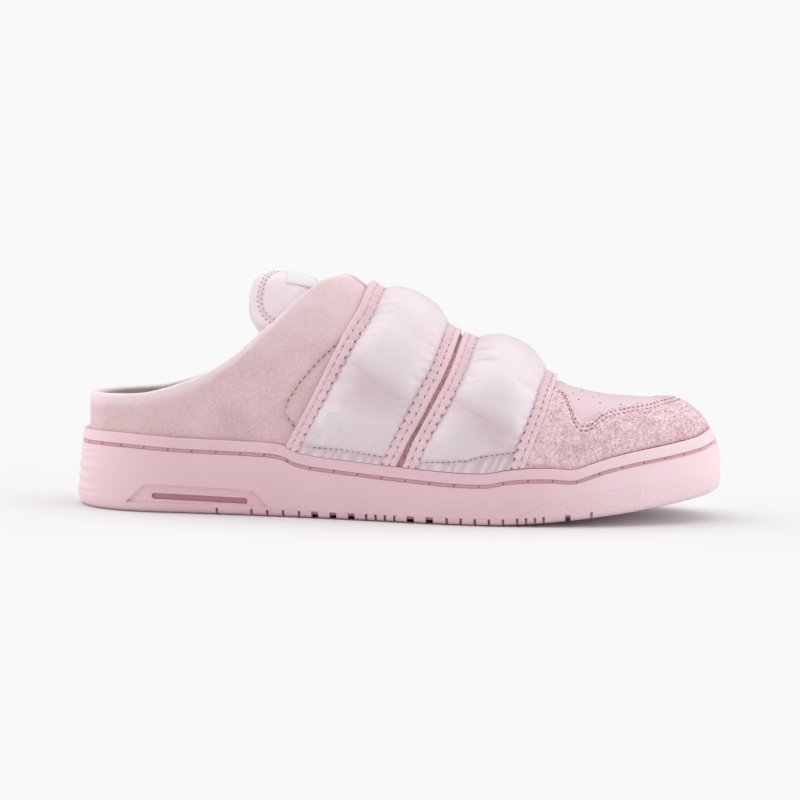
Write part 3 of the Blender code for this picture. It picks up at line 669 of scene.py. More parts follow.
def tread_cutter(middle):
    """Boxes for the cuts at the tread's edges, or for the middle of those that run across."""
    corners = []
    faces = []
    beyond = 2 * SOLE_FLARE
    for row in TREAD:
        for share in np.linspace(row.first, row.last, row.count):
            x = SOLE_LOW.x + SOLE_LENGTH * share
            along = np.array((x - HEEL_BACK) / UPPER_LENGTH)
            bottom = float(tread_height(x))
            foot = SOLE_FLARE * SIDE[0].proud
            outer, inner = (beside_last(along, side, feather_height(along), foot)[1] for side in (-1, 1))
            reach = WIDE_REACH if row.across else CUT_REACH
            spans = [(outer - beyond, outer + reach), (inner - reach, inner + beyond)]
            if middle:
                spans = [(outer + reach / 2, inner - reach / 2)] * row.across
            width = row.width * (MIDDLE_NARROWING if middle else 1.0)
            for start, end in spans:
                low = (x - width / 2, start, bottom - CUT_DEPTH)
                high = (x + width / 2, end, bottom + CUT_DEPTH * (WIDE_RISE if middle else 1.0))
                faces += [[len(corners) * 8 + point for point in face] for face in BOX_FACES]
                corners.append(box_points(low, high))
    return np.concatenate(corners), faces


def strip_edges(strips, share):
    """Heights of a side strip's low and high edge at shares of the sole's length."""
    starts = column_of(strips, "along")
    return [INSTEP_HEIGHT * np.interp(share, starts, column_of(strips, edge)) for edge in ("low", "high")]


def side_cutter(strips, depth):
    """A body on each side of the sole that follows its curve, as deep as asked into it."""
    starts = column_of(strips, "along")
    inner = [np.linspace(start, end, SIDE_STEPS, False) for start, end in zip(starts, starts[1:])]
    share = np.concatenate(inner + [starts[-1:]])
    x = SOLE_LOW.x + SOLE_LENGTH * share
    along = (x - HEEL_BACK) / UPPER_LENGTH
    low, high = strip_edges(strips, share)
    points = []
    faces = []
    for side in (-1, 1):
        deep, free = (
            beside_last(along, side, feather_height(along), SOLE_FLARE + out)[:, 1]
            for out in (-depth, SOLE_FLARE)
        )
        corners = ((low, deep), (high, deep), (high, free), (low, free))
        rings = np.stack([np.stack((x, y, height), -1) for height, y in corners], axis=1)
        start = len(points) * len(share) * 4
        faces += grid_faces(len(share), 4, closed=True, start=start)
        faces.append([start, start + 1, start + 2, start + 3])
        faces.append([start + 4 * (len(share) - 1) + corner for corner in range(4)])
        points.append(rings.reshape(-1, 3))
    return np.concatenate(points), faces


def cut(piece, name, points, faces, material):
    """Take a cutter's shape out of a piece."""
    cutter = make_piece(name, points, faces, [material])
    boolean = piece.modifiers.new(name, "BOOLEAN")
    boolean.operation = "DIFFERENCE"
    boolean.solver = "EXACT"
    boolean.object = cutter
    graph = bpy.context.evaluated_depsgraph_get()
    mesh = bpy.data.meshes.new_from_object(piece.evaluated_get(graph))
    piece.modifiers.clear()
    piece.data = mesh
    bpy.data.objects.remove(cutter)


def make_sole():
    """The cup sole, with its cuts, panels and slots taken out."""
    rubber = make_rubber("sole_rubber", False)
    tread = make_rubber("tread_rubber", True)
    rings = sole_points()
    rows, columns = rings.shape[:2]
    faces = grid_faces(rows, columns, closed=True)
    slots = [0] * len(faces)
    for ring, slot in ((0, 1), (rows - 1, 0)):
        cap = cap_faces(list(range(ring * columns, (ring + 1) * columns)))
        faces += cap
        slots += [slot] * len(cap)
    piece = make_piece("sole_body", rings, faces, [rubber, tread], slots)
    cut(piece, "edge_cuts", *tread_cutter(False), rubber)
    cut(piece, "middle_cuts", *tread_cutter(True), rubber)
    cut(piece, "side_panels", *side_cutter(PANEL, PANEL_DEPTH), rubber)
    cut(piece, "side_slots", *side_cutter(SLOT, PANEL_DEPTH + SLOT_DEPTH), rubber)
    mark_panels(piece.data)
    piece.data.shade_smooth()
    piece.data.set_sharp_from_angle(angle=SHARP_ANGLE)
    settle(piece, "sole_rubber", "sole")
    return piece


def inside_strips(share, height, strips):
    """Whether points lie between the low and high edge of a table's strip."""
    low, high = strip_edges(strips, share)
    slack = 0.05 * MM
    first, last = strips[0].along - slack / SOLE_LENGTH, strips[-1].along + slack / SOLE_LENGTH
    return (share > first) & (share < last) & (height > low - slack) & (height < high + slack)


def mark_panels(mesh):
    """Mark each face: whether it lies in a side panel, painted shade in the slot, and painted light at the
    ends.
    """
    points = np.empty(len(mesh.vertices) * 3)
    mesh.vertices.foreach_get("co", points)
    corners = np.empty(len(mesh.loops), dtype=int)
    mesh.loops.foreach_get("vertex_index", corners)
    starts = np.empty(len(mesh.polygons), dtype=int)
    mesh.polygons.foreach_get("loop_start", starts)
    share = ((points[0::3] - SOLE_LOW.x) / SOLE_LENGTH)[corners]
    height = points[2::3][corners]
    # The slot's faces get painted shade.
    panel, slot = (
        np.minimum.reduceat(inside_strips(share, height, strips).astype(np.float32), starts)
        for strips in (PANEL, SLOT)
    )
    # Painted light: paler towards the toe and the heel end.
    pale = ease((share - TOE_LIGHT_START) / TOE_LIGHT_RUN)
    pale = pale + HEEL_LIGHT_SHARE * ease((HEEL_LIGHT_START - share) / HEEL_LIGHT_RUN)
    fields = {"panel": panel * (1 - slot), "shade": SLOT_SHADE * slot, "wear": SOLE_LIGHT_SHARE * pale[starts]}
    for name, field in fields.items():
        write_field(mesh, name, field, "FACE")


make_sole()

# The groove under the rim holds a moulded cord that copies a stitched seam: short slanted
# strands in runs, with a small dot of painted shade, for a pit, between one run and the next.
# It is rubber, as the sole is.
# The tree that sets pieces along a path is made here and serves every seam of the shoe.
RUN_COUNT = 62
STRANDS_PER_RUN = 14
STRAND_LENGTH = 0.80 * MM
STRAND_WIDTH = 0.70 * MM
STRAND_SLANT = 0.50 * MM
STRAND_RISE = 0.16 * MM
STRAND_WANDER = 0.03
STRAND_THINNING = 0.85
STRAND_SINK = 0.15
DOT_SIZE = 1.15 * MM
DOT_LIFT = 0.08 * MM
CORD_LIFT = 0.42 * MM
PIT_SIDES = 8
PIT_OVAL = 0.8
PIT_WANDER = 0.05
NEVER = 1000000


def start_tree(name, sockets):
    """A Geometry Nodes tree with named inputs that gives one geometry."""
    tree = bpy.data.node_groups.new(name, "GeometryNodeTree")
    tree.interface.new_socket("Result", in_out="OUTPUT", socket_type="NodeSocketGeometry")
    for label, kind in sockets.items():
        tree.interface.new_socket(label, in_out="INPUT", socket_type="NodeSocket" + kind)
    return tree, tree.nodes.new("NodeGroupInput").outputs


def turn_locally(tree, rotation, **angles):
    """A rotation turned on by angles about its own axes."""
    angles = add_node(tree, "ShaderNodeCombineXYZ", angles).outputs[0]
    angles = add_node(tree, "FunctionNodeEulerToRotation", {0: angles}).outputs[0]
    inputs = {0: rotation, 1: angles}
    return add_node(tree, "FunctionNodeRotateRotation", inputs, rotation_space="LOCAL").outputs[0]


def random_value(tree, low, high, **inputs):
    """A random number between low and high."""
    inputs = {2: low, 3: high} | inputs
    return add_node(tree, "FunctionNodeRandomValue", inputs, data_type="FLOAT").outputs[1]


def place_pieces(tree, points, piece, **inputs):
    """Instances of a piece at points."""
    shape = add_node(tree, "GeometryNodeObjectInfo", {"Object": piece}).outputs["Geometry"]
    inputs = {"Points": points, "Instance": shape} | inputs
    return add_node(tree, "GeometryNodeInstanceOnPoints", inputs).outputs[0]


def finish_tree(tree, placed, material):
    """Make instances real, give them their material and hand them out."""
    real = add_node(tree, "GeometryNodeRealizeInstances", {0: placed}).outputs[0]
    painted = add_node(tree, "GeometryNodeSetMaterial", {"Geometry": real, "Material": material}).outputs[0]
    tree.links.new(painted, tree.nodes.new("NodeGroupOutput").inputs[0])
    return tree


def make_repeat_tree():
    """Pieces at even steps along a path, each lying along it with its top facing out."""
    sockets = {"Path": "Geometry", "Pitch": "Float", "Piece": "Object", "Material": "Material"}
    sockets |= {"Wander": "Float", "Seed": "Int", "Rest every": "Int"}
    tree, given = start_tree("repeat_along_path", sockets)
    curve = add_node(tree, "GeometryNodeMeshToCurve", {"Mesh": given["Path"]}).outputs[0]
    inputs = {"Curve": curve, "Length": given["Pitch"]}
    points = add_node(tree, "GeometryNodeCurveToPoints", inputs, mode="LENGTH").outputs
    out = add_node(tree, "GeometryNodeInputNamedAttribute", {"Name": "out"}, data_type="FLOAT_VECTOR")
    axes = {"Primary Axis": points["Tangent"], "Secondary Axis": out.outputs[0]}
    turn = add_node(tree, "FunctionNodeAxesToRotation", axes, primary_axis="X", secondary_axis="Z")
    least = maths(tree, "MULTIPLY", given["Wander"], -1.0)
    sway = random_value(tree, least, given["Wander"], Seed=given["Seed"])
    turned = turn_locally(tree, turn.outputs[0], Z=sway)
    index = add_node(tree, "GeometryNodeInputIndex").outputs[0]
    kept = maths(tree, "GREATER_THAN", maths(tree, "MODULO", index, given["Rest every"]), 0.5)
    unbroken = maths(tree, "GREATER_THAN", given["Rest every"], NEVER / 2)
    kept = maths(tree, "MAXIMUM", kept, unbroken)
    size = maths(tree, "ADD", 1.0, maths(tree, "MULTIPLY", sway, 0.5))
    how = {"Selection": kept, "Rotation": turned, "Scale": size}
    placed = place_pieces(tree, points["Points"], given["Piece"], **how)
    return finish_tree(tree, placed, given["Material"])


REPEAT = make_repeat_tree()


def run_tree(name, mesh, tree, values):
    """Run a Geometry Nodes tree on a mesh and keep its result as a plain mesh."""
    carrier = link(name + "_ground", mesh)
    modifier = carrier.modifiers.new(tree.name, "NODES")
    modifier.node_group = tree
    for item in tree.interface.items_tree:
        if item.in_out == "INPUT" and item.name in values:
            modifier[item.identifier] = values[item.name]
    graph = bpy.context.evaluated_depsgraph_get()
    result = bpy.data.meshes.new_from_object(carrier.evaluated_get(graph))
    bpy.data.objects.remove(carrier)
    result.shade_smooth()
    return link(name, result)


def repeat(name, paths, shape, pitch, material, wander=0.0, rest=NEVER, closed=False):
    """One mesh of a shape repeated along paths, each path being points and their normals."""
    edges = []
    count = 0
    for points, _ in paths:
        edges += [(count + i, count + i + 1) for i in range(len(points) - 1)]
        if closed:
            edges.append((count + len(points) - 1, count))
        count += len(points)
    points, outs = (np.concatenate(part) for part in zip(*paths))
    mesh = make_mesh(name, points, [], edges)
    write_field(mesh, "out", outs, kind="FLOAT_VECTOR")
    source = link(name + "_shape", shape)
    values = {"Pitch": pitch, "Piece": source, "Material": material, "Wander": wander}
    piece = run_tree(name, mesh, REPEAT, values | {"Seed": len(name), "Rest every": rest})
    bpy.data.objects.remove(source)
    return piece


def strand_mesh(length, width, rise, slant):
    """A short strand along X whose ends dive, leaning across by its slant."""
    rings, sides = 5, 6
    sweep = np.linspace(-1, 1, rings)[:, None]
    turn = np.linspace(0, 2 * pi, sides, endpoint=False)[None, :]
    girth = width / 2 * np.sqrt(1 - STRAND_THINNING * sweep**2)
    x = length / 2 * sweep + 0 * turn
    y = girth * np.cos(turn) + slant * sweep
    z = girth * np.sin(turn) + rise * (1 - sweep**2) - width * STRAND_SINK
    faces = grid_faces(rings, sides, closed=True)
    faces += [list(range(sides))[::-1], list(range(sides * (rings - 1), sides * rings))]
    return turn_outward(make_mesh("strand", np.stack((x, y, z), -1), faces))


def pit_mesh(length, width, lift):
    """A flat dark oval of painted shade that shows as a needle hole."""
    turn = np.linspace(0, 2 * pi, PIT_SIDES, endpoint=False)
    ring = np.stack((length / 2 * np.cos(turn), width / 2 * np.sin(turn), lift + 0 * turn), -1)
    points = ring.tolist() + [(0.0, 0.0, 2 * lift), (0.0, 0.0, -4 * lift)]
    edges = [(i, (i + 1) % PIT_SIDES) for i in range(PIT_SIDES)]
    faces = [(start, end, PIT_SIDES) for start, end in edges]
    faces += [(end, start, PIT_SIDES + 1) for start, end in edges]
    return turn_outward(make_mesh("pit", points, faces))


def with_normals(points_at, *places):
    """Points of a surface and the directions that face out of it."""
    low = points_at(*places, 0.0)
    return low, unit(points_at(*places, 1.0 * MM) - low)


def make_groove_cord():
    """Strands and dots along the groove, on both sides and round the toe and the heel."""
    along, side = around_columns(SOLE_COLUMNS)
    face = SOLE_FLARE * SIDE[-1].proud - GROOVE_DEPTH + CORD_LIFT

    def groove(lift):
        return beside_last(along, side, rim_height(along) - GROOVE_DROP, face + lift)

    path = groove(0.0), unit(groove(1.0 * MM) - groove(0.0))
    length = np.linalg.norm(path[0] - np.roll(path[0], 1, axis=0), axis=-1).sum()
    pitch = length / RUN_COUNT / STRANDS_PER_RUN
    colours = ((248, 214, 221), (228, 172, 184), (250, 228, 233))
    grain = {"Grain scale": 900.0, "Patch scale": 60.0, "Speckle": 0.1, "Patches": 0.2}
    light = start_material("cord_rubber", colours, grain, (0.45, 0.6), Specular_IOR_Level=0.4)[0]
    # The dots are painted shade of small pits.
    colours = ((205, 140, 155), (180, 112, 130), (220, 160, 172))
    deep = start_material("dot_rubber", colours, grain, (0.55, 0.7), Specular_IOR_Level=0.3)[0]
    strand = strand_mesh(STRAND_LENGTH, STRAND_WIDTH, STRAND_RISE, STRAND_SLANT)
    cord = repeat("groove_cord", [path], strand, pitch, light, STRAND_WANDER, STRANDS_PER_RUN, closed=True)
    dot = pit_mesh(DOT_SIZE, DOT_SIZE * PIT_OVAL, DOT_LIFT)
    dots = repeat("groove_dots", [path], dot, pitch * STRANDS_PER_RUN, deep, closed=True)
    settle(cord, "sole_rubber")
    settle(dots, "sole_rubber")


make_groove_cord()

# The upper is one hollow wall: nubuck quarters that meet behind the heel, a smooth perforated
# toe box in front, and a knitted lining that rolls out over a padded collar. It is open at the
# collar and down the throat, and underneath, where the cup of the sole closes it.
WALL = 2.2 * MM
COLLAR_PAD = 4.8 * MM
THROAT_HALF_WIDTH = 9 * MM
UPPER_COLUMNS = 200
EAR_COLUMNS = (0.37, 0.45, 28)
THROAT_COLUMNS = 9
LEAST_STEP = 0.002
WALL_ROWS = 72
CROWN_ROWS = 9
LEATHER_START = 0.640
SECTION_REACH = 70 * MM
EDGE_FLAT = 2.5 * MM
# The collar's rolled edge is paler: partly worn folded nap, partly painted highlight.
EDGE_PALE = 3.0 * MM
EDGE_PALENESS = 0.8
# Painted light: the nubuck quarter is painted paler towards its top, where the light from above falls.
TOP_LIGHT_START = 0.35
TOP_LIGHT_RUN = 0.6
TOP_LIGHT_PALENESS = 0.35

# Edge of the collar up to the ear. along: share of UPPER_LENGTH.
# share: height between the feather line and the ridge.
COLLAR = table(
    "along share",
    (0.000, 0.300), (0.063, 0.305), (0.098, 0.313), (0.128, 0.335), (0.164, 0.376),
    (0.198, 0.427), (0.224, 0.482), (0.250, 0.548), (0.278, 0.638), (0.305, 0.718),
    (0.330, 0.808), (0.358, 0.890), (0.377, 0.942), (0.404, 0.969),
)
EAR = 0.404
EAR_FADE = 0.02
THROAT_END = 0.710
PAD_END = 0.26
PAD_FADE = 0.12
PAD_LOW = 0.3
PAD_RISE = 0.5
CROWN_LIFT = 0.35

# Seam of the quarter, from the ear's edge down to the sole. along, share: as the collar's.
SEAM = table(
    "along share",
    (0.452, 0.800), (0.410, 0.644), (0.378, 0.536), (0.351, 0.424), (0.331, 0.315),
    (0.328, 0.262), (0.336, 0.226), (0.346, 0.189), (0.380, 0.100),
)
SEAM_DEPTH = 0.40 * MM
SEAM_WIDTH = 1.1 * MM
SEAM_STEP = 0.30 * MM
SEAM_STEP_RUN = 1.2 * MM
# Painted shade in the seam's trough.
SEAM_SHADE = 0.45
SEAM_PITCH = 2.8 * MM
SEAM_STITCH = (1.5 * MM, 0.5 * MM, 0.08 * MM)
SEAM_LIFT = 0.12 * MM
SEAM_RUN = (0.02, 0.98, 60)

# Soft folds of the quarter, each a line with a trough beside a ridge, from a start to an end
# whose along and share are those of the collar's table. width, depth: metres.
FOLDS = table(
    "start_along start_share end_along end_share width depth",
    (0.215, 0.420, 0.330, 0.560, 0.0075, 0.00055),
    (0.255, 0.500, 0.350, 0.700, 0.0060, 0.00045),
    (0.300, 0.660, 0.385, 0.820, 0.0050, 0.00040),
    (0.120, 0.270, 0.260, 0.210, 0.0080, 0.00050),
    (0.190, 0.120, 0.310, 0.240, 0.0070, 0.00040),
    (0.035, 0.130, 0.050, 0.280, 0.0055, 0.00045),
    (0.075, 0.260, 0.085, 0.110, 0.0060, 0.00035),
    (0.345, 0.880, 0.400, 0.900, 0.0045, 0.00035),
)

# Holes in the toe box, each a flat oval of painted shade, in rows along it.
# around: from the ridge 0 to the feather line 1.
HOLES = table(
    "around first last count",
    (0.300, 0.796, 0.889, 3),
    (0.205, 0.787, 0.834, 2),
    (0.090, 0.812, 0.860, 2),
)
HOLE_SIZE = 1.25 * MM
HOLE_LIFT = 0.02 * MM
HOLE_PATH = np.array(((0.0, 0.0, 0.0), (0.001 * MM, 0.0, 0.0)))


def opening_turn(along):
    """Turn at which the upper ends: at the collar's edge, the throat's edge or the ridge."""
    rounding = THROAT_HALF_WIDTH / UPPER_LENGTH
    reach = np.clip((along - THROAT_END + rounding) / rounding, 0.0, 1.0)
    gap = THROAT_HALF_WIDTH * np.sqrt(1 - reach * reach) / np.maximum(half_width(along), THROAT_HALF_WIDTH)
    throat = np.arccos(gap ** (smooth(SECTIONS, "fullness", along) / 2)) * 2 / pi
    collar = turn_of(along, smooth(COLLAR, "share", along))
    return np.where(along >= THROAT_END, 1.0, np.where(along <= EAR, collar, throat))


def wall_depth(along, turn):
    """Thickness of the upper's wall, which is padded along the collar."""
    padded = 1 - ease((along - PAD_END) / PAD_FADE)
    near_edge = ease((turn / opening_turn(along) - PAD_LOW) / PAD_RISE)
    return mix(WALL, COLLAR_PAD, padded * near_edge)


def line_distance(x, z, line_x, line_z):
    """Distance from points to a line of straight pieces, and the share along it that is nearest."""
    best = np.full(x.shape, 1.0)
    where = np.zeros(x.shape)
    count = len(line_x) - 1
    for i in range(count):
        step_x, step_z = line_x[i + 1] - line_x[i], line_z[i + 1] - line_z[i]
        reach = ((x - line_x[i]) * step_x + (z - line_z[i]) * step_z) / (step_x**2 + step_z**2)
        reach = np.clip(reach, 0.0, 1.0)
        away = np.hypot(x - line_x[i] - reach * step_x, z - line_z[i] - reach * step_z)
        where = np.where(away < best, (i + reach) / count, where)
        best = np.minimum(best, away)
    return best, where


def side_line(along, share, side=-1):
    """Points on one side of the last, at shares of the height from feather line to ridge."""
    along, share = np.asarray(along), np.asarray(share)
    return on_last(along, side * (1 - turn_of(along, share)))


def upper_relief(points, along):
    """How far the quarter's skin stands out, and the painted shade in its seam's trough."""
    x, z = points[..., 0], points[..., 2]
    line = side_line(column_of(SEAM, "along"), column_of(SEAM, "share"))
    away, _ = line_distance(x, z, line[:, 0], line[:, 2])
    trough = np.exp(-((away / SEAM_WIDTH) ** 2))
    seam_x = np.interp(-z, -line[:, 2], line[:, 0])
    step = ease((x - seam_x) / SEAM_STEP_RUN + 0.5)
    relief = -SEAM_DEPTH * trough - SEAM_STEP * step * (along < LEATHER_START)
    for fold in FOLDS:
        ends = side_line((fold.start_along, fold.end_along), (fold.start_share, fold.end_share))
        away, where = line_distance(x, z, ends[:, 0], ends[:, 2])
        start_x, start_z = ends[0, [0, 2]]
        run_x, run_z = ends[1, [0, 2]] - ends[0, [0, 2]]
        above = (x - start_x) * run_z > (z - start_z) * run_x
        offset = np.where(above, away, -away) / fold.width
        taper = np.exp(-((2 * where - 1) ** 4) * 1.5)
        relief = relief - fold.depth * taper * offset * np.exp(0.5 - offset**2) * 1.4
    return relief, SEAM_SHADE * trough


def upper_columns():
    """Places of the upper's columns from heel to toe, close together round the ear."""
    even = (1 - np.cos(pi * np.linspace(0, 1, UPPER_COLUMNS))) / 2
    rounding = THROAT_HALF_WIDTH / UPPER_LENGTH
    throat = THROAT_END - rounding * (1 - np.sin(np.linspace(0, pi / 2, THROAT_COLUMNS)))
    extra = np.concatenate((np.linspace(*EAR_COLUMNS), throat))
    spaced = [at for at in even if np.abs(extra - at).min() > LEAST_STEP]
    return np.sort(np.concatenate((spaced, extra)))


def make_nubuck():
    """Fine napped leather with a speckle, soft brushed patches and a paler folded edge."""
    # Pale also gives the collar's paler edge, partly worn nap and partly painted highlight, and the painted
    # light on the quarter's top.
    colours = ((234, 205, 208), (210, 173, 178), (248, 230, 232))
    grain = {"Grain scale": 1300.0, "Patch scale": 55.0, "Speckle": 1.5, "Patches": 0.9}
    look = {"Specular_IOR_Level": 0.18, "Sheen_Weight": 0.35, "Sheen_Roughness": 0.5}
    look["Sheen_Tint"] = srgb(255, 235, 238)
    material, tree, shader, group = start_material("nubuck", colours, grain, (0.80, 0.95), **look)
    add_bump(tree, shader, group.outputs["Height"], 0.12 * MM, 0.8)
    coarse = noise(tree, object_place(tree), 320.0, 2.0, 0.6)
    add_bump(tree, shader, coarse, 0.10 * MM, 0.5)
    return material


def make_smooth_leather():
    """Smooth pale leather with a fine pore and a soft gloss."""
    colours = ((233, 213, 219), (222, 184, 193), (247, 230, 234))
    grain = {"Grain scale": 700.0, "Patch scale": 35.0, "Speckle": 0.25, "Patches": 0.4}
    look = {"Specular_IOR_Level": 0.35, "Coat_Weight": 0.06, "Coat_Roughness": 0.4}
    material, tree, shader, _ = start_material("smooth_leather", colours, grain, (0.48, 0.62), **look)
    pores = add_node(tree, "ShaderNodeTexVoronoi", {"Vector": object_place(tree), "Scale": 1500.0})
    add_bump(tree, shader, pores.outputs["Distance"], 0.05 * MM, 0.5)
    return material


def make_knit(name, colours, pitch):
    """Knitted cloth with rows of small open dots, on the piece's own surface map."""
    grain = {"Grain scale": 1100.0, "Patch scale": 60.0, "Speckle": 0.4, "Patches": 0.3}
    look = {"Specular_IOR_Level": 0.2, "Sheen_Weight": 0.2}
    material, tree, shader, group = start_material(name, colours, grain, (0.8, 0.95), **look)
    parts = add_node(tree, "ShaderNodeSeparateXYZ", {0: surface_place(tree)}).outputs
    waves = [maths(tree, "SINE", maths(tree, "MULTIPLY", parts[axis], 2 * pi / pitch)) for axis in (0, 1)]
    loops = maths(tree, "MULTIPLY", waves[0], waves[1])
    dots = ramp(tree, loops, 0.25, 0.75)
    colour = blend_colour(tree, dots, group.outputs["Colour"], srgb(*colours[1]))
    tree.links.new(colour, shader.inputs["Base Color"])
    add_bump(tree, shader, maths(tree, "SUBTRACT", 1.0, dots), 0.18 * MM, 0.9)
    add_bump(tree, shader, waves[0], 0.05 * MM, 0.6)
    return material


def surface_place(tree):
    """The place of a point on its piece's own surface map, in metres."""
    return add_node(tree, "ShaderNodeUVMap", uv_map="surface").outputs[0]


def lengths_over(grid):
    """Distances over a grid of points, along its rows and down its columns."""
    across = np.linalg.norm(np.diff(grid, axis=1), axis=-1)
    down = np.linalg.norm(np.diff(grid, axis=0), axis=-1)
    u = np.pad(np.cumsum(across, axis=1), ((0, 0), (1, 0)))
    v = np.pad(np.cumsum(down, axis=0), ((1, 0), (0, 0)))
    return np.stack((u, v), axis=-1)


NUBUCK = make_nubuck()
SMOOTH_LEATHER = make_smooth_leather()
KNIT_PITCH = 1.5 * MM
KNIT = make_knit("knit_lining", ((226, 212, 214), (188, 168, 172), (236, 224, 226)), KNIT_PITCH)


def make_upper():
    """The wall, column by column from the toe's outer side round the heel to its inner side."""
    heel_to_toe = upper_columns()
    along = np.concatenate((heel_to_toe[::-1], heel_to_toe[1:]))
    side = np.concatenate((-np.ones(len(heel_to_toe)), np.ones(len(heel_to_toe) - 1)))
    limit = opening_turn(along)
    turn = np.linspace(0, 1, WALL_ROWS)[None, :] * limit[:, None]
    at, around = along[:, None], side[:, None] * (1 - turn)
    relief, seam = upper_relief(on_last(at, around), at)
    to_edge = (limit[:, None] - turn) * SECTION_REACH
    relief = relief * ease(to_edge / EDGE_FLAT)
    outside = on_last(at, around, relief)
    inside = on_last(at, around, -wall_depth(at, turn))
    edge, lining_edge = outside[:, -1], inside[:, -1]
    rise = unit(edge - outside[:, -2]) * np.linalg.norm(edge - lining_edge, axis=-1)[:, None] * CROWN_LIFT
    sweep = np.linspace(0, pi, CROWN_ROWS + 2)[1:-1]
    crown = np.stack([
        (edge + lining_edge) / 2 + (edge - lining_edge) / 2 * cos(turned) + rise * sin(turned)
        for turned in sweep
    ], axis=1)
    feet = []
    for wall in (outside, inside):
        foot = wall[:, :1].copy()
        foot[..., 2] = floor_height(at) + CLEARANCE
        feet.append(foot)
    grid = np.concatenate((feet[0], outside, crown, inside[:, ::-1], feet[1]), axis=1)
    rows, columns = grid.shape[:2]
    crown_start, crown_end = WALL_ROWS, WALL_ROWS + CROWN_ROWS + 1
    faces = []
    slots = []
    for number, face in enumerate(grid_faces(rows, columns, closed=True)):
        row, column = divmod(number, columns)
        open_here = max(along[row], along[row + 1]) <= THROAT_END + 1e-9
        if crown_start <= column < crown_end and not open_here:
            continue
        faces.append(face)
        leather = min(along[row], along[row + 1]) > LEATHER_START
        lined = column >= crown_end - 2
        slots.append(2 if lined else int(leather))
    shade, wear = np.zeros((2, rows, columns))
    # Painted shade in the quarter's seam.
    shade[:, 1:WALL_ROWS + 1] = seam
    # Painted light that makes the quarter paler towards its top.
    top_light = TOP_LIGHT_PALENESS * ease((share_at(at, turn) - TOP_LIGHT_START) / TOP_LIGHT_RUN) * (at < LEATHER_START)
    # Paler at the collar's edge and over its rolled crown: partly worn nap, partly painted highlight.
    rubbed_and_lit = EDGE_PALENESS * (1 - ease(to_edge / EDGE_PALE)) * (at <= EAR + EAR_FADE)
    wear[:, 1:WALL_ROWS + 1] = np.maximum(top_light, rubbed_and_lit)
    wear[:, WALL_ROWS + 1:crown_end] = EDGE_PALENESS
    piece = make_piece(
        "upper_shell", grid, faces, [NUBUCK, SMOOTH_LEATHER, KNIT], slots,
        uv=lengths_over(grid), shade=shade, wear=wear,
    )
    settle(piece, "nubuck", "upper")


def thread_and_shade(name, colour, dark):
    """Matt dark colour of stitches and holes: painted shade of holes and sunk thread, partly the thread's
    own colour.
    """
    grain = {"Grain scale": 2000.0, "Patch scale": 200.0, "Speckle": 0.5, "Patches": 0.3}
    return start_material(name, (colour, dark, colour), grain, (0.85, 0.95), Specular_IOR_Level=0.1)[0]


# Painted shade for needle holes and sunk thread, and for the toe box's holes, which are not cut.
HOLE_SHADE = thread_and_shade("needle_hole", (172, 112, 124), (140, 84, 98))
TOE_HOLE_SHADE = thread_and_shade("deep_hole", (128, 74, 88), (104, 56, 70))


def make_upper_seams():
    """Sunk stitches down the quarter's seam, and the holes of the toe box, as flat ovals of painted shade.
    """
    paths = []
    for side in (-1, 1):
        fine = np.linspace(*SEAM_RUN)
        steps = np.linspace(0, 1, len(SEAM))
        along = np.interp(fine, steps, column_of(SEAM, "along"))
        share = np.interp(fine, steps, column_of(SEAM, "share"))
        around = side * (1 - turn_of(along, share))
        points, outs = with_normals(on_last, along, around)
        depth = upper_relief(points, along)[0]
        paths.append((points + outs * (depth[:, None] + SEAM_LIFT), outs))
    dash = pit_mesh(*SEAM_STITCH)
    settle(repeat("quarter_stitches", paths, dash, SEAM_PITCH, HOLE_SHADE, PIT_WANDER), "nubuck")
    paths = []
    for row in HOLES:
        for side in (-1, 1) if row.around else (1,):
            along = np.linspace(row.first, row.last, row.count)
            points, outs = with_normals(on_last, along, side * row.around + 0 * along)
            paths += [(points[[i, i]] + HOLE_PATH, outs[[i, i]]) for i in range(row.count)]
    pit = pit_mesh(HOLE_SIZE, HOLE_SIZE * PIT_OVAL, HOLE_LIFT)
    settle(repeat("toe_holes", paths, pit, 1.0, TOE_HOLE_SHADE), "nubuck")


make_upper()
make_upper_seams()

# The insole is a flat sock of knitted cloth over a thin foam, a little dished under the foot.
# It lies loose on the floor of the cup, between the walls of the upper.
INSOLE_THICKNESS = 4.5 * MM
INSOLE_DISH = 1.2 * MM
INSOLE_ROUND = 1.2 * MM
INSOLE_ROWS, INSOLE_COLUMNS = 120, 41


def sheet_faces(rows, columns):
    """Faces of a closed body whose rows each run over its front and come back under it."""
    faces = grid_faces(rows, 2 * columns, closed=True)
    for start in (0, (rows - 1) * 2 * columns):
        ends = [(i, i + 1, 2 * columns - 2 - i, 2 * columns - 1 - i) for i in range(columns - 1)]
        faces += [[start + corner for corner in face] for face in ends]
    return faces


def make_sheet(name, front, back, materials, slots=None, places=None, **fields):
    """A closed body between a front and a back grid; the rest is given for the front."""
    rows, columns = front.shape[:2]
    points = np.concatenate((front, back[:, ::-1]), axis=1)
    places = lengths_over(front) if places is None else places
    places = np.concatenate((places, places[:, ::-1]), axis=1)
    faces = sheet_faces(rows, columns)
    marks = None
    if slots is not None:
        row, column = np.divmod(np.arange((rows - 1) * 2 * columns), 2 * columns)
        column = np.minimum(column, 2 * columns - 1 - column)
        marks = slots[row, np.minimum(column, columns - 2)].tolist()
        marks += [int(slots[0, 0])] * (len(faces) - len(marks))
    fields = {label: np.concatenate((field, field[:, ::-1]), axis=1) for label, field in fields.items()}
    return make_piece(name, points, faces, materials, marks, uv=places, **fields)


def round_edge(share):
    """Rise of a quarter circle, from 0 at an edge to 1 at a share of 1 inside it."""
    return np.sqrt(np.clip(1 - (1 - np.clip(share, 0, 1)) ** 2, 0, 1))


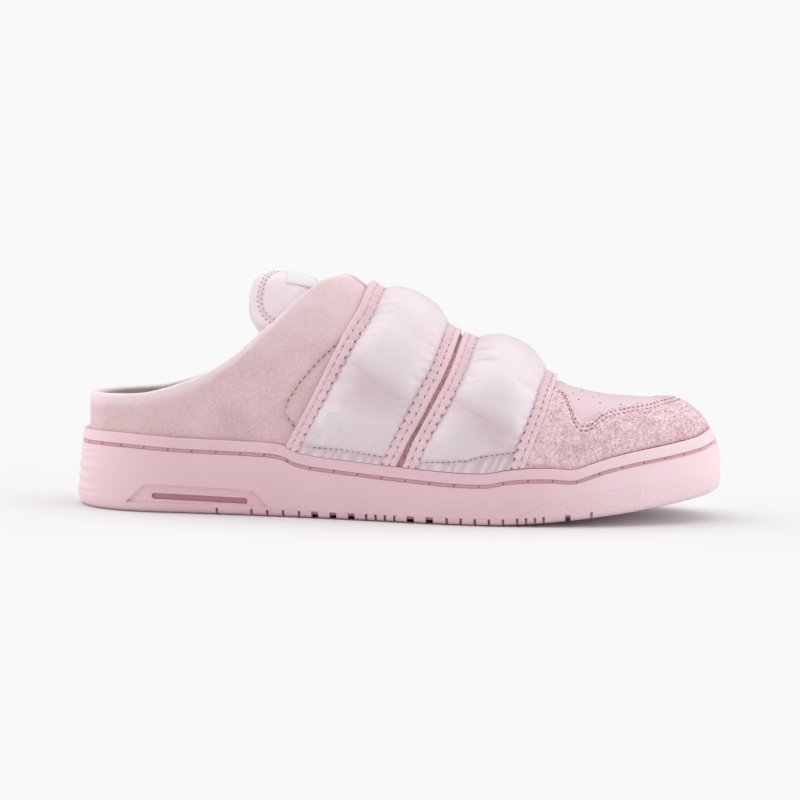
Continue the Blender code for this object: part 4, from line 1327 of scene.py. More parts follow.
def make_insole():
    """The sock, between the upper's walls."""
    along = ((1 - np.cos(pi * np.linspace(0, 1, INSOLE_ROWS))) / 2)[:, None]
    across = np.sin(pi / 2 * np.linspace(-1, 1, INSOLE_COLUMNS))[None, :]
    inset = -WALL - CLEARANCE
    outer, inner = (beside_last(along, side, feather_height(along), inset) for side in (-1, 1))
    middle = mix(outer, inner, (across[..., None] + 1) / 2)
    to_edge = (1 - abs(across)) * np.linalg.norm(outer - inner, axis=-1) / 2
    fall = INSOLE_ROUND * (1 - round_edge(to_edge / INSOLE_ROUND))
    dish = INSOLE_DISH * (1 - across**2) * ease(np.sin(pi * along) * 2)
    front, back = middle.copy(), middle.copy()
    front[..., 2] = floor_height(along) + CLEARANCE + INSOLE_THICKNESS - fall - dish
    back[..., 2] = floor_height(along) + CLEARANCE
    settle(make_sheet("insole_sock", front, back, [KNIT], places=front[..., :2]), "insole_cloth", "insole")


make_insole()

# The tongue is a thin padded satin cloth that stands up behind the straps and runs on under
# them. It has a bound edge all round, a channel beside it and two rows of stitches.
TONGUE_THICKNESS = 4.8 * MM
TONGUE_EDGE_THICKNESS = 2.6 * MM

# Tongue. along: share of UPPER_LENGTH. depth: below the last's ridge, a share of INSTEP_HEIGHT.
# spread: how far its edges reach round the section, from the ridge 0 to the feather line 1.
TONGUE = table(
    "along depth spread",
    (0.250, 0.010, 0.60),
    (0.290, 0.015, 0.60),
    (0.329, 0.035, 0.58),
    (0.367, 0.065, 0.54),
    (0.390, 0.078, 0.50),
    (0.425, 0.068, 0.46),
    (0.448, 0.045, 0.43),
    (0.470, 0.028, 0.42),
    (0.690, 0.027, 0.40),
)
TONGUE_TOE_END = 0.690
TONGUE_FLAT = 0.25
TONGUE_FALL = 0.5
TONGUE_TAPE = 5.0 * MM
TONGUE_SOFT = 12 * MM
TONGUE_DIP = 0.15
TONGUE_ROUND = 1.3 * MM
TONGUE_ROUND_DROP = 1.1 * MM
TONGUE_BACK_ROUND = 0.8 * MM
TONGUE_PAD = 0.7 * MM
TONGUE_PAD_RUN = 5.0 * MM
TONGUE_THIN_END = 10 * MM
TONGUE_THIN_SIDE = 8 * MM
CHANNEL_DEPTH = 0.45 * MM
CHANNEL_WIDTH = 0.5 * MM
# Painted shade in the channel beside the binding.
CHANNEL_SHADE = 0.5
TONGUE_STITCH = (1.2 * MM, 0.5 * MM, 0.08 * MM)
TONGUE_PITCH = 2.2 * MM
TONGUE_SEAMS = (TONGUE_TAPE - 1.1 * MM, TONGUE_TAPE + 0.8 * MM)
STITCH_LIFT = 0.12 * MM
SEAM_TAIL = 16 * MM
TONGUE_ROWS, TONGUE_COLUMNS = 110, 71
TONGUE_CROWDING = 1.6
END_POINTS, TAIL_POINTS, DEPTH_STEPS = 50, 14, 60

# Free end of the tongue. across: share of its half width. along: share of UPPER_LENGTH.
TONGUE_END = table(
    "across along",
    (0.00, 0.290), (0.20, 0.275), (0.40, 0.263), (0.60, 0.259), (0.80, 0.265),
    (1.00, 0.295),
)


def tongue_points(along, across, proud):
    """Points above the tongue's top face, across from its outer edge -1 to its inner edge 1."""
    depth = INSTEP_HEIGHT * smooth(TONGUE, "depth", along)
    around = across * smooth(TONGUE, "spread", along)
    under_wall = wall_depth(along, np.minimum(1 - abs(around), opening_turn(along))) + 2 * CLEARANCE
    edge = ease((abs(across) - TONGUE_FLAT) / TONGUE_FALL)
    return on_last(along, around, proud - mix(depth, np.maximum(depth, under_wall), edge))


def make_satin(name, colours, weave, sheen):
    """Woven satin: a fine twill, a soft sheen and small slack folds."""
    grain = {"Grain scale": 1700.0, "Patch scale": 45.0, "Speckle": 0.3, "Patches": 0.4}
    look = {"Specular_IOR_Level": 0.6, "Sheen_Weight": sheen, "Sheen_Roughness": 0.35}
    look |= {"Coat_Weight": 0.3, "Coat_Roughness": 0.42}
    look["Sheen_Tint"] = srgb(255, 244, 250)
    material, tree, shader, group = start_material(name, colours, grain, (0.42, 0.56), **look)
    place = surface_place(tree)
    waves = {"Vector": place, "Scale": weave, "Distortion": 0.6, "Detail": 1.0}
    twill = add_node(tree, "ShaderNodeTexWave", waves, wave_type="BANDS", bands_direction="DIAGONAL")
    add_bump(tree, shader, twill.outputs["Fac"], 0.03 * MM, 0.6)
    stretched = add_node(tree, "ShaderNodeMapping", {"Vector": place, "Scale": (1.0, 0.45, 1.0)})
    folds = noise(tree, stretched.outputs[0], 260.0, 3.0, 0.55)
    add_bump(tree, shader, folds, 0.55 * MM, 0.55)
    add_bump(tree, shader, group.outputs["Height"], 0.04 * MM, 0.4)
    return material


def make_tape(name, colours, pitch):
    """Ribbed edging tape, its ribs across its length."""
    grain = {"Grain scale": 1500.0, "Patch scale": 70.0, "Speckle": 0.5, "Patches": 0.35}
    look = {"Specular_IOR_Level": 0.3, "Sheen_Weight": 0.3, "Sheen_Roughness": 0.45}
    material, tree, shader, group = start_material(name, colours, grain, (0.55, 0.7), **look)
    parts = add_node(tree, "ShaderNodeSeparateXYZ", {0: surface_place(tree)}).outputs
    ribs = maths(tree, "SINE", maths(tree, "MULTIPLY", parts["Y"], 2 * pi / pitch))
    add_bump(tree, shader, ribs, 0.07 * MM, 0.8)
    add_bump(tree, shader, group.outputs["Height"], 0.05 * MM, 0.4)
    return material


TONGUE_SATIN = (248, 236, 242), (230, 206, 215), (252, 244, 248)
TONGUE_BINDING = (254, 244, 248), (243, 218, 226), (255, 249, 252)
TONGUE_CLOTH = make_satin("tongue_satin", TONGUE_SATIN, 420.0, 0.3)
TONGUE_EDGE = make_tape("tongue_tape", TONGUE_BINDING, 0.9 * MM)


def tongue_end(across):
    """Where the tongue's free end lies, as a share of UPPER_LENGTH, with a soft dip in the middle."""
    return smooth(TONGUE_END, "along", np.minimum(np.hypot(across, TONGUE_DIP), 1.0))


def tongue_reach(along):
    """Half the tongue's width, measured over its curve."""
    return half_width(along) * smooth(TONGUE, "spread", along) * pi / 2


def from_tongue_edge(from_end, from_side):
    """How far inside the tongue's edge a point lies, with round corners."""
    deep = [1 - np.minimum(away, TONGUE_SOFT) / TONGUE_SOFT for away in (from_end, from_side)]
    return TONGUE_SOFT * np.clip(1 - np.hypot(*deep), 0.0, 1.0)


def tongue_line(inset):
    """Points and normals of a line that keeps its distance to the tongue's free edge."""
    last = tongue_end(1.0) + TONGUE_SOFT / UPPER_LENGTH
    across = np.sin(pi / 2 * np.linspace(0, 1, END_POINTS)) * (1 - 1.002 * inset / tongue_reach(last))
    from_end = np.linspace(0, TONGUE_SOFT, DEPTH_STEPS)
    lines = tongue_end(across)[:, None] + from_end[None, :] / UPPER_LENGTH
    inward = from_tongue_edge(from_end[None, :], (1 - across)[:, None] * tongue_reach(lines))
    along = np.array([np.interp(inset, depths, line) for depths, line in zip(inward, lines)])
    down = along[-1] + np.linspace(0.05, 1, TAIL_POINTS) * SEAM_TAIL / UPPER_LENGTH
    along = np.concatenate((along, down))
    across = np.concatenate((across, 1 - inset / tongue_reach(down)))
    along = np.concatenate((along[:0:-1], along))
    across = np.concatenate((-across[:0:-1], across))
    return with_normals(lambda lift: tongue_points(along, across, STITCH_LIFT + lift))


def make_tongue():
    """The cloth and its binding, padded inside the edge."""
    across = np.sin(pi / 2 * np.linspace(-1, 1, TONGUE_COLUMNS))[None, :]
    rise = (np.linspace(0, 1, TONGUE_ROWS) ** TONGUE_CROWDING)[:, None]
    along = mix(tongue_end(across), TONGUE_TOE_END, rise)
    from_end = (along - tongue_end(across)) * UPPER_LENGTH
    from_side = (1 - abs(across)) * tongue_reach(along)
    inward = from_tongue_edge(from_end, from_side)
    edge = round_edge(inward / TONGUE_ROUND)
    channel = np.exp(-(((inward - TONGUE_TAPE) / CHANNEL_WIDTH) ** 2))
    lift = TONGUE_PAD * ease((inward - TONGUE_TAPE) / TONGUE_PAD_RUN)
    lift = lift - TONGUE_ROUND_DROP * (1 - edge) - CHANNEL_DEPTH * channel
    rim = np.clip(from_end / TONGUE_THIN_END, 0, 1) * np.clip(from_side / TONGUE_THIN_SIDE, 0, 1)
    thickness = mix(TONGUE_EDGE_THICKNESS, TONGUE_THICKNESS, rim)
    front = tongue_points(along, across, lift)
    back = tongue_points(along, across, -thickness + TONGUE_BACK_ROUND * (1 - edge))
    taped = (inward < TONGUE_TAPE).astype(int)[:-1, :-1]
    cloths = [TONGUE_CLOTH, TONGUE_EDGE]
    # The channel takes painted shade.
    piece = make_sheet("tongue_pad", front, back, cloths, taped, shade=CHANNEL_SHADE * channel)
    settle(piece, "tongue_cloth", "tongue")
    paths = [tongue_line(inset) for inset in TONGUE_SEAMS]
    dash = pit_mesh(*TONGUE_STITCH)
    # The tongue's stitches: the rose thread's own colour with painted shade of its holes.
    rose = thread_and_shade("tongue_thread", (214, 158, 174), (188, 128, 146))
    settle(repeat("tongue_stitches", paths, dash, TONGUE_PITCH, rose, PIT_WANDER), "tongue_cloth")


make_tongue()

# The tab is a small blank label of pale smooth plastic with soft edges. It lies on the middle
# of the tongue, across it, and is sewn flat to it.
LABEL_START = 0.318
LABEL_LENGTH = 12 * MM
LABEL_WIDTH = 24 * MM
LABEL_THICKNESS = 0.8 * MM
LABEL_FOOT = 0.45 * MM
LABEL_LIFT = 0.75 * MM
LABEL_BEVEL = 0.35 * MM
LABEL_BEVEL_RUN = 0.5 * MM
LABEL_ROWS, LABEL_COLUMNS = 25, 41


def make_label():
    """A blank pale tab with soft edges."""
    grain = {"Grain scale": 1600.0, "Patch scale": 60.0, "Speckle": 0.2, "Patches": 0.2}
    colours = ((240, 238, 238), (222, 214, 216), (248, 246, 246))
    white = start_material("tab_white", colours, grain, (0.45, 0.6), Specular_IOR_Level=0.35)[0]
    down = np.linspace(0, 1, LABEL_ROWS)[:, None]
    over = np.linspace(-1, 1, LABEL_COLUMNS)[None, :]
    along = LABEL_START + LABEL_LENGTH / UPPER_LENGTH * down
    reach = LABEL_WIDTH / 2 / tongue_reach(along)
    edge = np.minimum(np.minimum(down, 1 - down) * LABEL_LENGTH, (1 - abs(over)) * LABEL_WIDTH / 2)
    bevel = LABEL_BEVEL * (1 - np.clip(edge / LABEL_BEVEL_RUN, 0, 1)) ** 2
    front = tongue_points(along, reach * over, LABEL_LIFT + LABEL_THICKNESS - bevel)
    back = tongue_points(along, reach * over, LABEL_FOOT)
    settle(make_sheet("blank_tab", front, back, [white]), "label", "tongue_label")


make_label()

# The toe guard is a band of shaggy suede round the toe box, from strap to strap. Its nap is
# made of short fibres that lie every way, some paler and some darker, and a double row of
# stitches holds its upper edge.
GUARD_THICKNESS = 1.2 * MM
HEM_GAP = 0.03 * MM
FOLLOW_STEPS = 14
GUARD_ROUND = 0.9 * MM
GUARD_EDGE = 0.35
GUARD_SEAMS = (2.4 * MM, 4.4 * MM)
GUARD_SEAM_WIDTH = 0.55 * MM
GUARD_SEAM_DEPTH = 0.25
# Painted shade in the dips of the stitch rows.
GUARD_SEAM_SHADE = 0.2
GUARD_STITCH = (0.95 * MM, 0.6 * MM, 0.06 * MM)
GUARD_STITCH_LIFT = 0.25 * MM
GUARD_PITCH = 2.3 * MM
GUARD_STITCH_ROW = 20
NOTCH_COLUMNS, FRONT_COLUMNS = 70, 60
GUARD_ROWS, GUARD_EDGE_ROWS = 22, 9
GUARD_EDGE_START = 0.92
STITCH_WANDER = 0.25
# Painted shadow along the guard's foot, on the sole's rim.
FOOT_SHADE = 0.9
FOOT_SHADE_RISE = 0.7 * MM
THIN_NAP = 0.35
THIN_NAP_RUN = 1.5 * MM
SEAM_NAP = 0.55
FIBRE_LENGTH = 1.6 * MM
FIBRE_WIDTH = 0.42 * MM
FIBRE_DENSITY = 3.4e6
FIBRE_SEED = 7
FIBRE_LEAST = 0.7
FIBRE_SPREAD = 0.6
FIBRE_CURL = 0.35
LEAST_LEAN = 0.25
MOST_LEAN = 1.45

# Upper edge of the toe guard. along: share of UPPER_LENGTH. share: as in the collar's table.
GUARD = table(
    "along share",
    (0.700, 0.940), (0.755, 0.937), (0.768, 0.912), (0.775, 0.857), (0.782, 0.770),
    (0.791, 0.691), (0.800, 0.663), (0.810, 0.673), (0.821, 0.719), (0.835, 0.781),
    (0.854, 0.823), (0.893, 0.867), (0.941, 0.901), (0.970, 0.935), (1.000, 0.965),
)
GUARD_NOTCH = 0.38
STRAP_GAP = 0.05 * MM

# Edges of the straps. share: height between feather line and ridge. rear, front: along the upper.
STRAP_REAR = table(
    "share rear front",
    (0.00, 0.319, 0.497),
    (0.10, 0.333, 0.510),
    (0.25, 0.356, 0.527),
    (0.40, 0.378, 0.545),
    (0.55, 0.399, 0.560),
    (0.70, 0.419, 0.575),
    (0.85, 0.437, 0.586),
    (1.00, 0.447, 0.594),
)
STRAP_FRONT = table(
    "share rear front",
    (0.00, 0.508, 0.698),
    (0.10, 0.520, 0.703),
    (0.25, 0.534, 0.711),
    (0.40, 0.551, 0.720),
    (0.55, 0.567, 0.729),
    (0.70, 0.581, 0.737),
    (0.85, 0.591, 0.744),
    (1.00, 0.598, 0.753),
)


def hem_turn(along):
    """Turn just above the sole's rim."""
    return turn_of(along, share_of(along, rim_height(along) + HEM_GAP))


def guard_places(reach, rise):
    """Places on the guard: reach from the strap 0 to the toe 1, rise from the rim 0 to its edge 1."""
    share = 0.5 + 0 * (reach + rise)
    for _ in range(FOLLOW_STEPS):
        start = smooth(STRAP_FRONT, "front", share) + STRAP_GAP / UPPER_LENGTH
        along = mix(start, 1.0, reach)
        high = turn_of(along, smooth(GUARD, "share", along))
        turn = mix(hem_turn(along), high, rise)
        share = share_at(along, turn)
    return along, turn


def make_suede(name, colours):
    """Napped suede ground under the fibres."""
    grain = {"Grain scale": 900.0, "Patch scale": 120.0, "Speckle": 1.8, "Patches": 1.2}
    look = {"Specular_IOR_Level": 0.10, "Sheen_Weight": 0.25, "Sheen_Roughness": 0.6}
    material, tree, shader, group = start_material(name, colours, grain, (0.88, 0.98), **look)
    add_bump(tree, shader, group.outputs["Height"], 0.4 * MM, 1.0)
    return material


def make_fibre_material(name, dark, pale):
    """Fibres that each take a tone of their own between dark and pale."""
    grain = {"Grain scale": 600.0, "Patch scale": 150.0, "Speckle": 0.6, "Patches": 0.8}
    look = {"Specular_IOR_Level": 0.12, "Sheen_Weight": 0.2}
    material, tree, shader, group = start_material(name, (pale, dark, pale), grain, (0.85, 0.95), **look)
    tone = ramp(tree, attribute(tree, "tone"), 0.0, 1.0)
    colour = blend_colour(tree, tone, srgb(*dark), group.outputs["Colour"])
    tree.links.new(colour, shader.inputs["Base Color"])
    return material


def make_fibre_tree():
    """Fibres scattered over a surface, leaning over every way, each with a random tone."""
    sockets = {"Ground": "Geometry", "Density": "Float", "Piece": "Object", "Material": "Material"}
    tree, given = start_tree("scatter_fibres", sockets | {"Lean": "Float", "Seed": "Int"})
    cover = add_node(tree, "GeometryNodeInputNamedAttribute", {"Name": "cover"}, data_type="FLOAT")
    density = maths(tree, "MULTIPLY", given["Density"], cover.outputs[0])
    inputs = {"Mesh": given["Ground"], "Density": density, "Seed": given["Seed"]}
    points = add_node(tree, "GeometryNodeDistributePointsOnFaces", inputs).outputs
    spin = random_value(tree, 0.0, 2 * pi, Seed=given["Seed"])
    lean = random_value(tree, LEAST_LEAN, given["Lean"], Seed=given["Seed"])
    number = add_node(tree, "GeometryNodeInputIndex").outputs[0]
    tone = random_value(tree, 0.0, 1.0, ID=number)
    turned = turn_locally(tree, points["Rotation"], Y=lean, Z=spin)
    size = maths(tree, "ADD", maths(tree, "MULTIPLY", tone, FIBRE_SPREAD), FIBRE_LEAST)
    placed = place_pieces(tree, points["Points"], given["Piece"], Rotation=turned, Scale=size)
    inputs = {"Geometry": placed, "Name": "tone", "Value": tone}
    toned = add_node(tree, "GeometryNodeStoreNamedAttribute", inputs, domain="INSTANCE").outputs[0]
    return finish_tree(tree, toned, given["Material"])


SCATTER = make_fibre_tree()


def fibre_mesh(length, width):
    """A slim curled spike with four faces, standing along Z."""
    half = width / 2
    points = [(half, 0, 0), (-half, half, 0), (-half, -half, 0), (length * FIBRE_CURL, 0, length)]
    return turn_outward(make_mesh("fibre", points, [(0, 1, 3), (1, 2, 3), (2, 0, 3), (0, 2, 1)]))


def scatter(name, points, cover, material, slot, density=FIBRE_DENSITY):
    """Fibres over a grid of points; cover is 1 where they stand close and 0 where there are none."""
    mesh = make_mesh(name, points, grid_faces(*points.shape[:2]))
    write_field(mesh, "cover", cover)
    shape = link(name + "_shape", fibre_mesh(FIBRE_LENGTH, FIBRE_WIDTH))
    values = {"Density": density, "Piece": shape, "Material": material, "Lean": MOST_LEAN}
    piece = run_tree(name, mesh, SCATTER, values | {"Seed": FIBRE_SEED})
    bpy.data.objects.remove(shape)
    settle(piece, slot)
    return piece


SUEDE = make_suede("suede", ((255, 235, 240), (226, 172, 183), (255, 242, 246)))
NAP = make_fibre_material("suede_nap", (248, 200, 209), (255, 240, 245))


def make_guard():
    """The band, with a rounded upper edge, its nap and its two rows of stitches."""
    notch = np.linspace(0, GUARD_NOTCH, NOTCH_COLUMNS, endpoint=False)
    front_part = mix(GUARD_NOTCH, 1.0, np.sin(pi / 2 * np.linspace(0, 1, FRONT_COLUMNS)))
    one_side = np.concatenate((notch, front_part))
    reach = np.concatenate((one_side, one_side[-2::-1]))[:, None]
    side = np.where(np.arange(len(reach)) < len(one_side), -1.0, 1.0)[:, None]
    low = np.linspace(0, GUARD_EDGE_START, GUARD_ROWS, endpoint=False)
    rise = np.concatenate((low, np.linspace(GUARD_EDGE_START, 1, GUARD_EDGE_ROWS)))[None, :]
    along, turn = guard_places(reach, rise)
    surface = on_last(along, side * (1 - turn))
    from_rim = lengths_over(surface)[..., 0]
    height = from_rim[:, -1:]
    to_edge = height - from_rim
    rows = sum(np.exp(-(((to_edge - at) / GUARD_SEAM_WIDTH) ** 2)) for at in GUARD_SEAMS)
    profile = mix(GUARD_EDGE, 1.0, round_edge(to_edge / GUARD_ROUND)) - GUARD_SEAM_DEPTH * rows
    front = on_last(along, side * (1 - turn), LAP_GAP + GUARD_THICKNESS * profile)
    back = on_last(along, side * (1 - turn), LAP_GAP)
    # Painted shade in the stitch rows and painted shadow along the foot at the rim.
    shade = GUARD_SEAM_SHADE * rows + FOOT_SHADE * np.exp(-from_rim / FOOT_SHADE_RISE)
    settle(make_sheet("toe_guard_band", front, back, [SUEDE], shade=shade), "suede", "toe_guard")
    cover = mix(THIN_NAP, 1.0, np.clip(to_edge / THIN_NAP_RUN, 0, 1)) * (1 - SEAM_NAP * np.clip(rows, 0, 1))
    scatter("toe_guard_nap", front, cover, NAP, "suede")
    paths = []
    outs = unit(front - back)[:, GUARD_STITCH_ROW]
    for at in GUARD_SEAMS:
        share = np.clip(1 - at / height, 0, 1)[:, 0]
        line = np.array([
            [np.interp(level * from_rim[i, -1], from_rim[i], front[i, :, axis]) for axis in range(3)]
            for i, level in enumerate(share)
        ])
        paths.append((line + outs * GUARD_STITCH_LIFT, outs))
    stitch = pit_mesh(*GUARD_STITCH)
    stitches = repeat("toe_guard_stitches", paths, stitch, GUARD_PITCH, HOLE_SHADE, STITCH_WANDER)
    settle(stitches, "suede")


make_guard()

# Between the two straps a strip of the same suede shows on each side, in darker colours that are
# painted shade, because it lies deep. It is a thin sheet on the upper's skin that runs on a little
# under both straps.
MIDDLE_LAP = 1.5 * MM
MIDDLE_FOOT = 0.05 * MM
MIDDLE_ROOTS = 0.30 * MM
MIDDLE_TOP = 0.42 * MM
MIDDLE_DENSITY = 1.6e6
MIDDLE_EDGE = 0.01
MIDDLE_ROWS, MIDDLE_COLUMNS = 121, 9
RIDGE_GAP = 0.02
# Darker copies of the suede and its nap: painted shade of the deep strip.
SHADED_SUEDE = make_suede("deep_suede", ((243, 196, 204), (190, 124, 138), (230, 184, 192)))
SHADED_NAP = make_fibre_material("deep_nap", (224, 162, 174), (255, 230, 236))


def places_between(lines, across, rise):
    """Places on a strap: across from one line to the other, rise from the outer hem -1 over the
    ridge 0 to the inner hem 1. Each line keeps a distance from the edge of a strap."""
    share = 0 * (across + rise)
    for _ in range(FOLLOW_STEPS):
        start, end = (smooth(rows, edge, share) + inset / UPPER_LENGTH for rows, edge, inset in lines)
        along = mix(start, end, across)
        turn = mix(1.0, hem_turn(along), abs(rise))
        share = share_at(along, turn)
    return along, turn, share


def side_of(rise):
    """The shoe's side on which a rise lies: outer -1, inner 1."""
    return np.where(rise < 0, -1.0, 1.0)


def make_middle_strip():
    """The suede seen between the front edge of one strap and the rear edge of the next, in painted shade.
    """
    rise = np.linspace(-1, 1, MIDDLE_ROWS)[:, None]
    across = np.linspace(0, 1, MIDDLE_COLUMNS)[None, :]
    lines = (STRAP_REAR, "front", -MIDDLE_LAP), (STRAP_FRONT, "rear", MIDDLE_LAP)
    along, turn, _ = places_between(lines, across, rise)
    around = side_of(rise) * (1 - np.minimum(turn, opening_turn(along) - MIDDLE_EDGE))
    keep = abs(around[:, 0]) > RIDGE_GAP
    for number, chosen in enumerate((keep & (rise[:, 0] < 0), keep & (rise[:, 0] > 0))):
        roots, front, back = (
            on_last(along[chosen], around[chosen], lift) for lift in (MIDDLE_ROOTS, MIDDLE_TOP, MIDDLE_FOOT)
        )
        name = f"middle_strip_{number + 1}"
        settle(make_sheet(name, front, back, [SHADED_SUEDE]), "suede")
        scatter(name + "_nap", roots, np.ones(roots.shape[:2]), SHADED_NAP, "suede", MIDDLE_DENSITY)


make_middle_strip()

# Two puffed satin straps cross the instep. Each is slack cloth over a soft filling, gathered by
# the seams of its edging tapes, and sewn flat at its hem over the rim. The cloth is simulated.
STRAP_THICKNESS = 1.7 * MM
BINDING_WIDTH = 6.0 * MM
BINDING_THICKNESS = 2.0 * MM
REAR_PUFF = 4.9 * MM
FRONT_PUFF = 5.4 * MM
PUFF_ROUND = 0.55
TUCK = 1.3 * MM
TUCK_DROP = 0.7 * MM
# Painted shade where the satin tucks under a binding.
TUCK_SHADE = 0.35
TUCK_SHADE_RUN = 0.5 * MM
SWELL_RISE = 0.42
SWELL_ROUND = 0.8
HEM_HELD = 0.015
STRAP_ROWS = 151
STRAP_COLUMNS = 37
SEW_PITCH = 3.9 * MM
HEM_STITCH = (1.1 * MM, 0.42 * MM, 0.05 * MM)
HEM_PITCH = 2.2 * MM
HEM_LIFT = 0.03 * MM
HEM_RUN = (0.04, 0.96, 80)
HEM_WANDER = 0.08

# The cloth is simulated ten times as large, because the solver is made for larger things.
CLOTH_SCALE = 10.0
CLOTH_FRAMES = 20
CLOTH_CAP = 1.4 * MM
CLOTH = {
    "mass": 0.25,
    "quality": 6,
    "tension_stiffness": 20,
    "compression_stiffness": 20,
    "shear_stiffness": 8,
    "bending_stiffness": 0.35,
    "shrink_min": -0.035,
    "use_pressure": True,
    "uniform_pressure_force": 2.0,
}

# Small gathers of the cloth, along the bindings and along the hem's seam. The reach, start and
# width of those at the hem are shares of the height from feather line to ridge.
GATHER_DEPTH = 0.42 * MM
GATHER_REACH = 1.9 * MM
GATHER_START = 0.3 * MM
HEM_GATHER_PITCH = 4.4 * MM
HEM_GATHER_ABOVE = 0.12 * MM
HEM_GATHER_BELOW = 0.34 * MM
# Painted shade between the gathers below the hem's seam.
HEM_GATHER_SHADE = 0.25
HEM_GATHER_REACH = 0.05
HEM_GATHER_START = 0.03
HEM_SLACK_RUN = 0.02
HEM_SLACK_START = 0.3
HEM_SEAM_WIDTH = 0.012
HEM_SEAM_DEPTH = 0.35 * MM
# Painted shade in the hem's seam.
HEM_SEAM_SHADE = 0.5

# Seams above the hems. along: share of UPPER_LENGTH. share: height from feather line to ridge.
HEM_REAR = table(
    "along share",
    (0.374, 0.105), (0.440, 0.118), (0.488, 0.124),
)
HEM_FRONT = table(
    "along share",
    (0.551, 0.135), (0.583, 0.154), (0.618, 0.184), (0.640, 0.224), (0.672, 0.267),
    (0.703, 0.307),
)

# Broad soft folds across a strap. share: where it runs. depth: metres, below 0 for a ridge.
# FOLD_SHADE turns a fold into painted shade in its trough and painted light along a ridge.
FOLD_SHADE = 170.0
FOLD_ABOVE = 0.55
FOLD_BELOW = 1.35
CREASES_REAR = table(
    "share width depth tilt",
    (0.50, 0.11, 0.0020, -0.12),
    (0.76, 0.09, -0.0008, -0.06),
    (0.30, 0.05, -0.0004, 0.05),
)
CREASES_FRONT = table(
    "share width depth tilt",
    (0.47, 0.10, 0.0020, -0.18),
    (0.74, 0.09, -0.0007, -0.08),
    (0.62, 0.03, 0.0002, 0.10),
)


def strap_relief(places, across, share, seam, creases):
    """How far a strap's cloth stands out from its smooth puff, and the painted shade of its folds."""
    over = places[..., 0]
    to_side = np.minimum(over, over[:, -1:] - over)
    near = np.exp(-to_side / GATHER_REACH) * (1 - np.exp(-to_side / GATHER_START))
    beat = np.cos(2 * pi * places[..., 1] / SEW_PITCH)
    relief = GATHER_DEPTH * near * beat
    shade = 0.0
    middle = np.sqrt(np.sin(pi * np.clip(across, 0, 1)).clip(0))
    for crease in creases:
        at = crease.share + crease.tilt * (across - 0.5)
        spread = crease.width * np.where(share > at, FOLD_ABOVE, FOLD_BELOW)
        fold = crease.depth * middle * np.exp(-(((share - at) / spread) ** 2))
        relief = relief - fold
        # Painted shade in the fold's trough, painted light along a ridge.
        shade = shade + FOLD_SHADE * fold
    above = share - seam
    hem = np.exp(-np.clip(above, 0, None) / HEM_GATHER_REACH) * ease(above / HEM_GATHER_START + 1)
    gather = np.cos(2 * pi * over / HEM_GATHER_PITCH + 1.5 * np.sin(over * 400))
    below = ease(-above / HEM_SLACK_RUN - HEM_SLACK_START)
    relief = relief + gather * (HEM_GATHER_ABOVE * hem + HEM_GATHER_BELOW * below)
    # Painted shade between the gathers and in the hem's seam.
    shade = shade + HEM_GATHER_SHADE * below * (1 - gather)
    seam_line = np.exp(-((above / HEM_SEAM_WIDTH) ** 2))
    return relief - HEM_SEAM_DEPTH * seam_line, shade + HEM_SEAM_SHADE * seam_line


def simulate_cloth(name, points, pinned):
    """Let a sheet slacken as cloth with a light pressure under it, held where it is pinned."""
    sheet = link(name, make_mesh(name, points * CLOTH_SCALE, grid_faces(*points.shape[:2])))
    held = sheet.vertex_groups.new(name="held")
    for number, weight in enumerate(pinned.ravel()):
        held.add([number], float(weight), "REPLACE")
    cloth = sheet.modifiers.new("cloth", "CLOTH")
    for label, value in CLOTH.items():
        setattr(cloth.settings, label, value)
    cloth.settings.vertex_group_mass = "held"
    cloth.settings.effector_weights.gravity = 0.0
    cloth.point_cache.frame_start = 1
    cloth.point_cache.frame_end = CLOTH_FRAMES
    for step in range(1, CLOTH_FRAMES + 1):
        bpy.context.scene.frame_set(step)
    graph = bpy.context.evaluated_depsgraph_get()
    result = sheet.evaluated_get(graph)
    moved = np.empty(points.size)
    result.data.vertices.foreach_get("co", moved)
    bpy.data.objects.remove(sheet)
    bpy.context.scene.frame_set(1)
    shift = moved.reshape(points.shape) / CLOTH_SCALE - points
    length = np.linalg.norm(shift, axis=-1, keepdims=True)
    return points + shift * np.minimum(1.0, CLOTH_CAP / np.maximum(length, 1e-9))


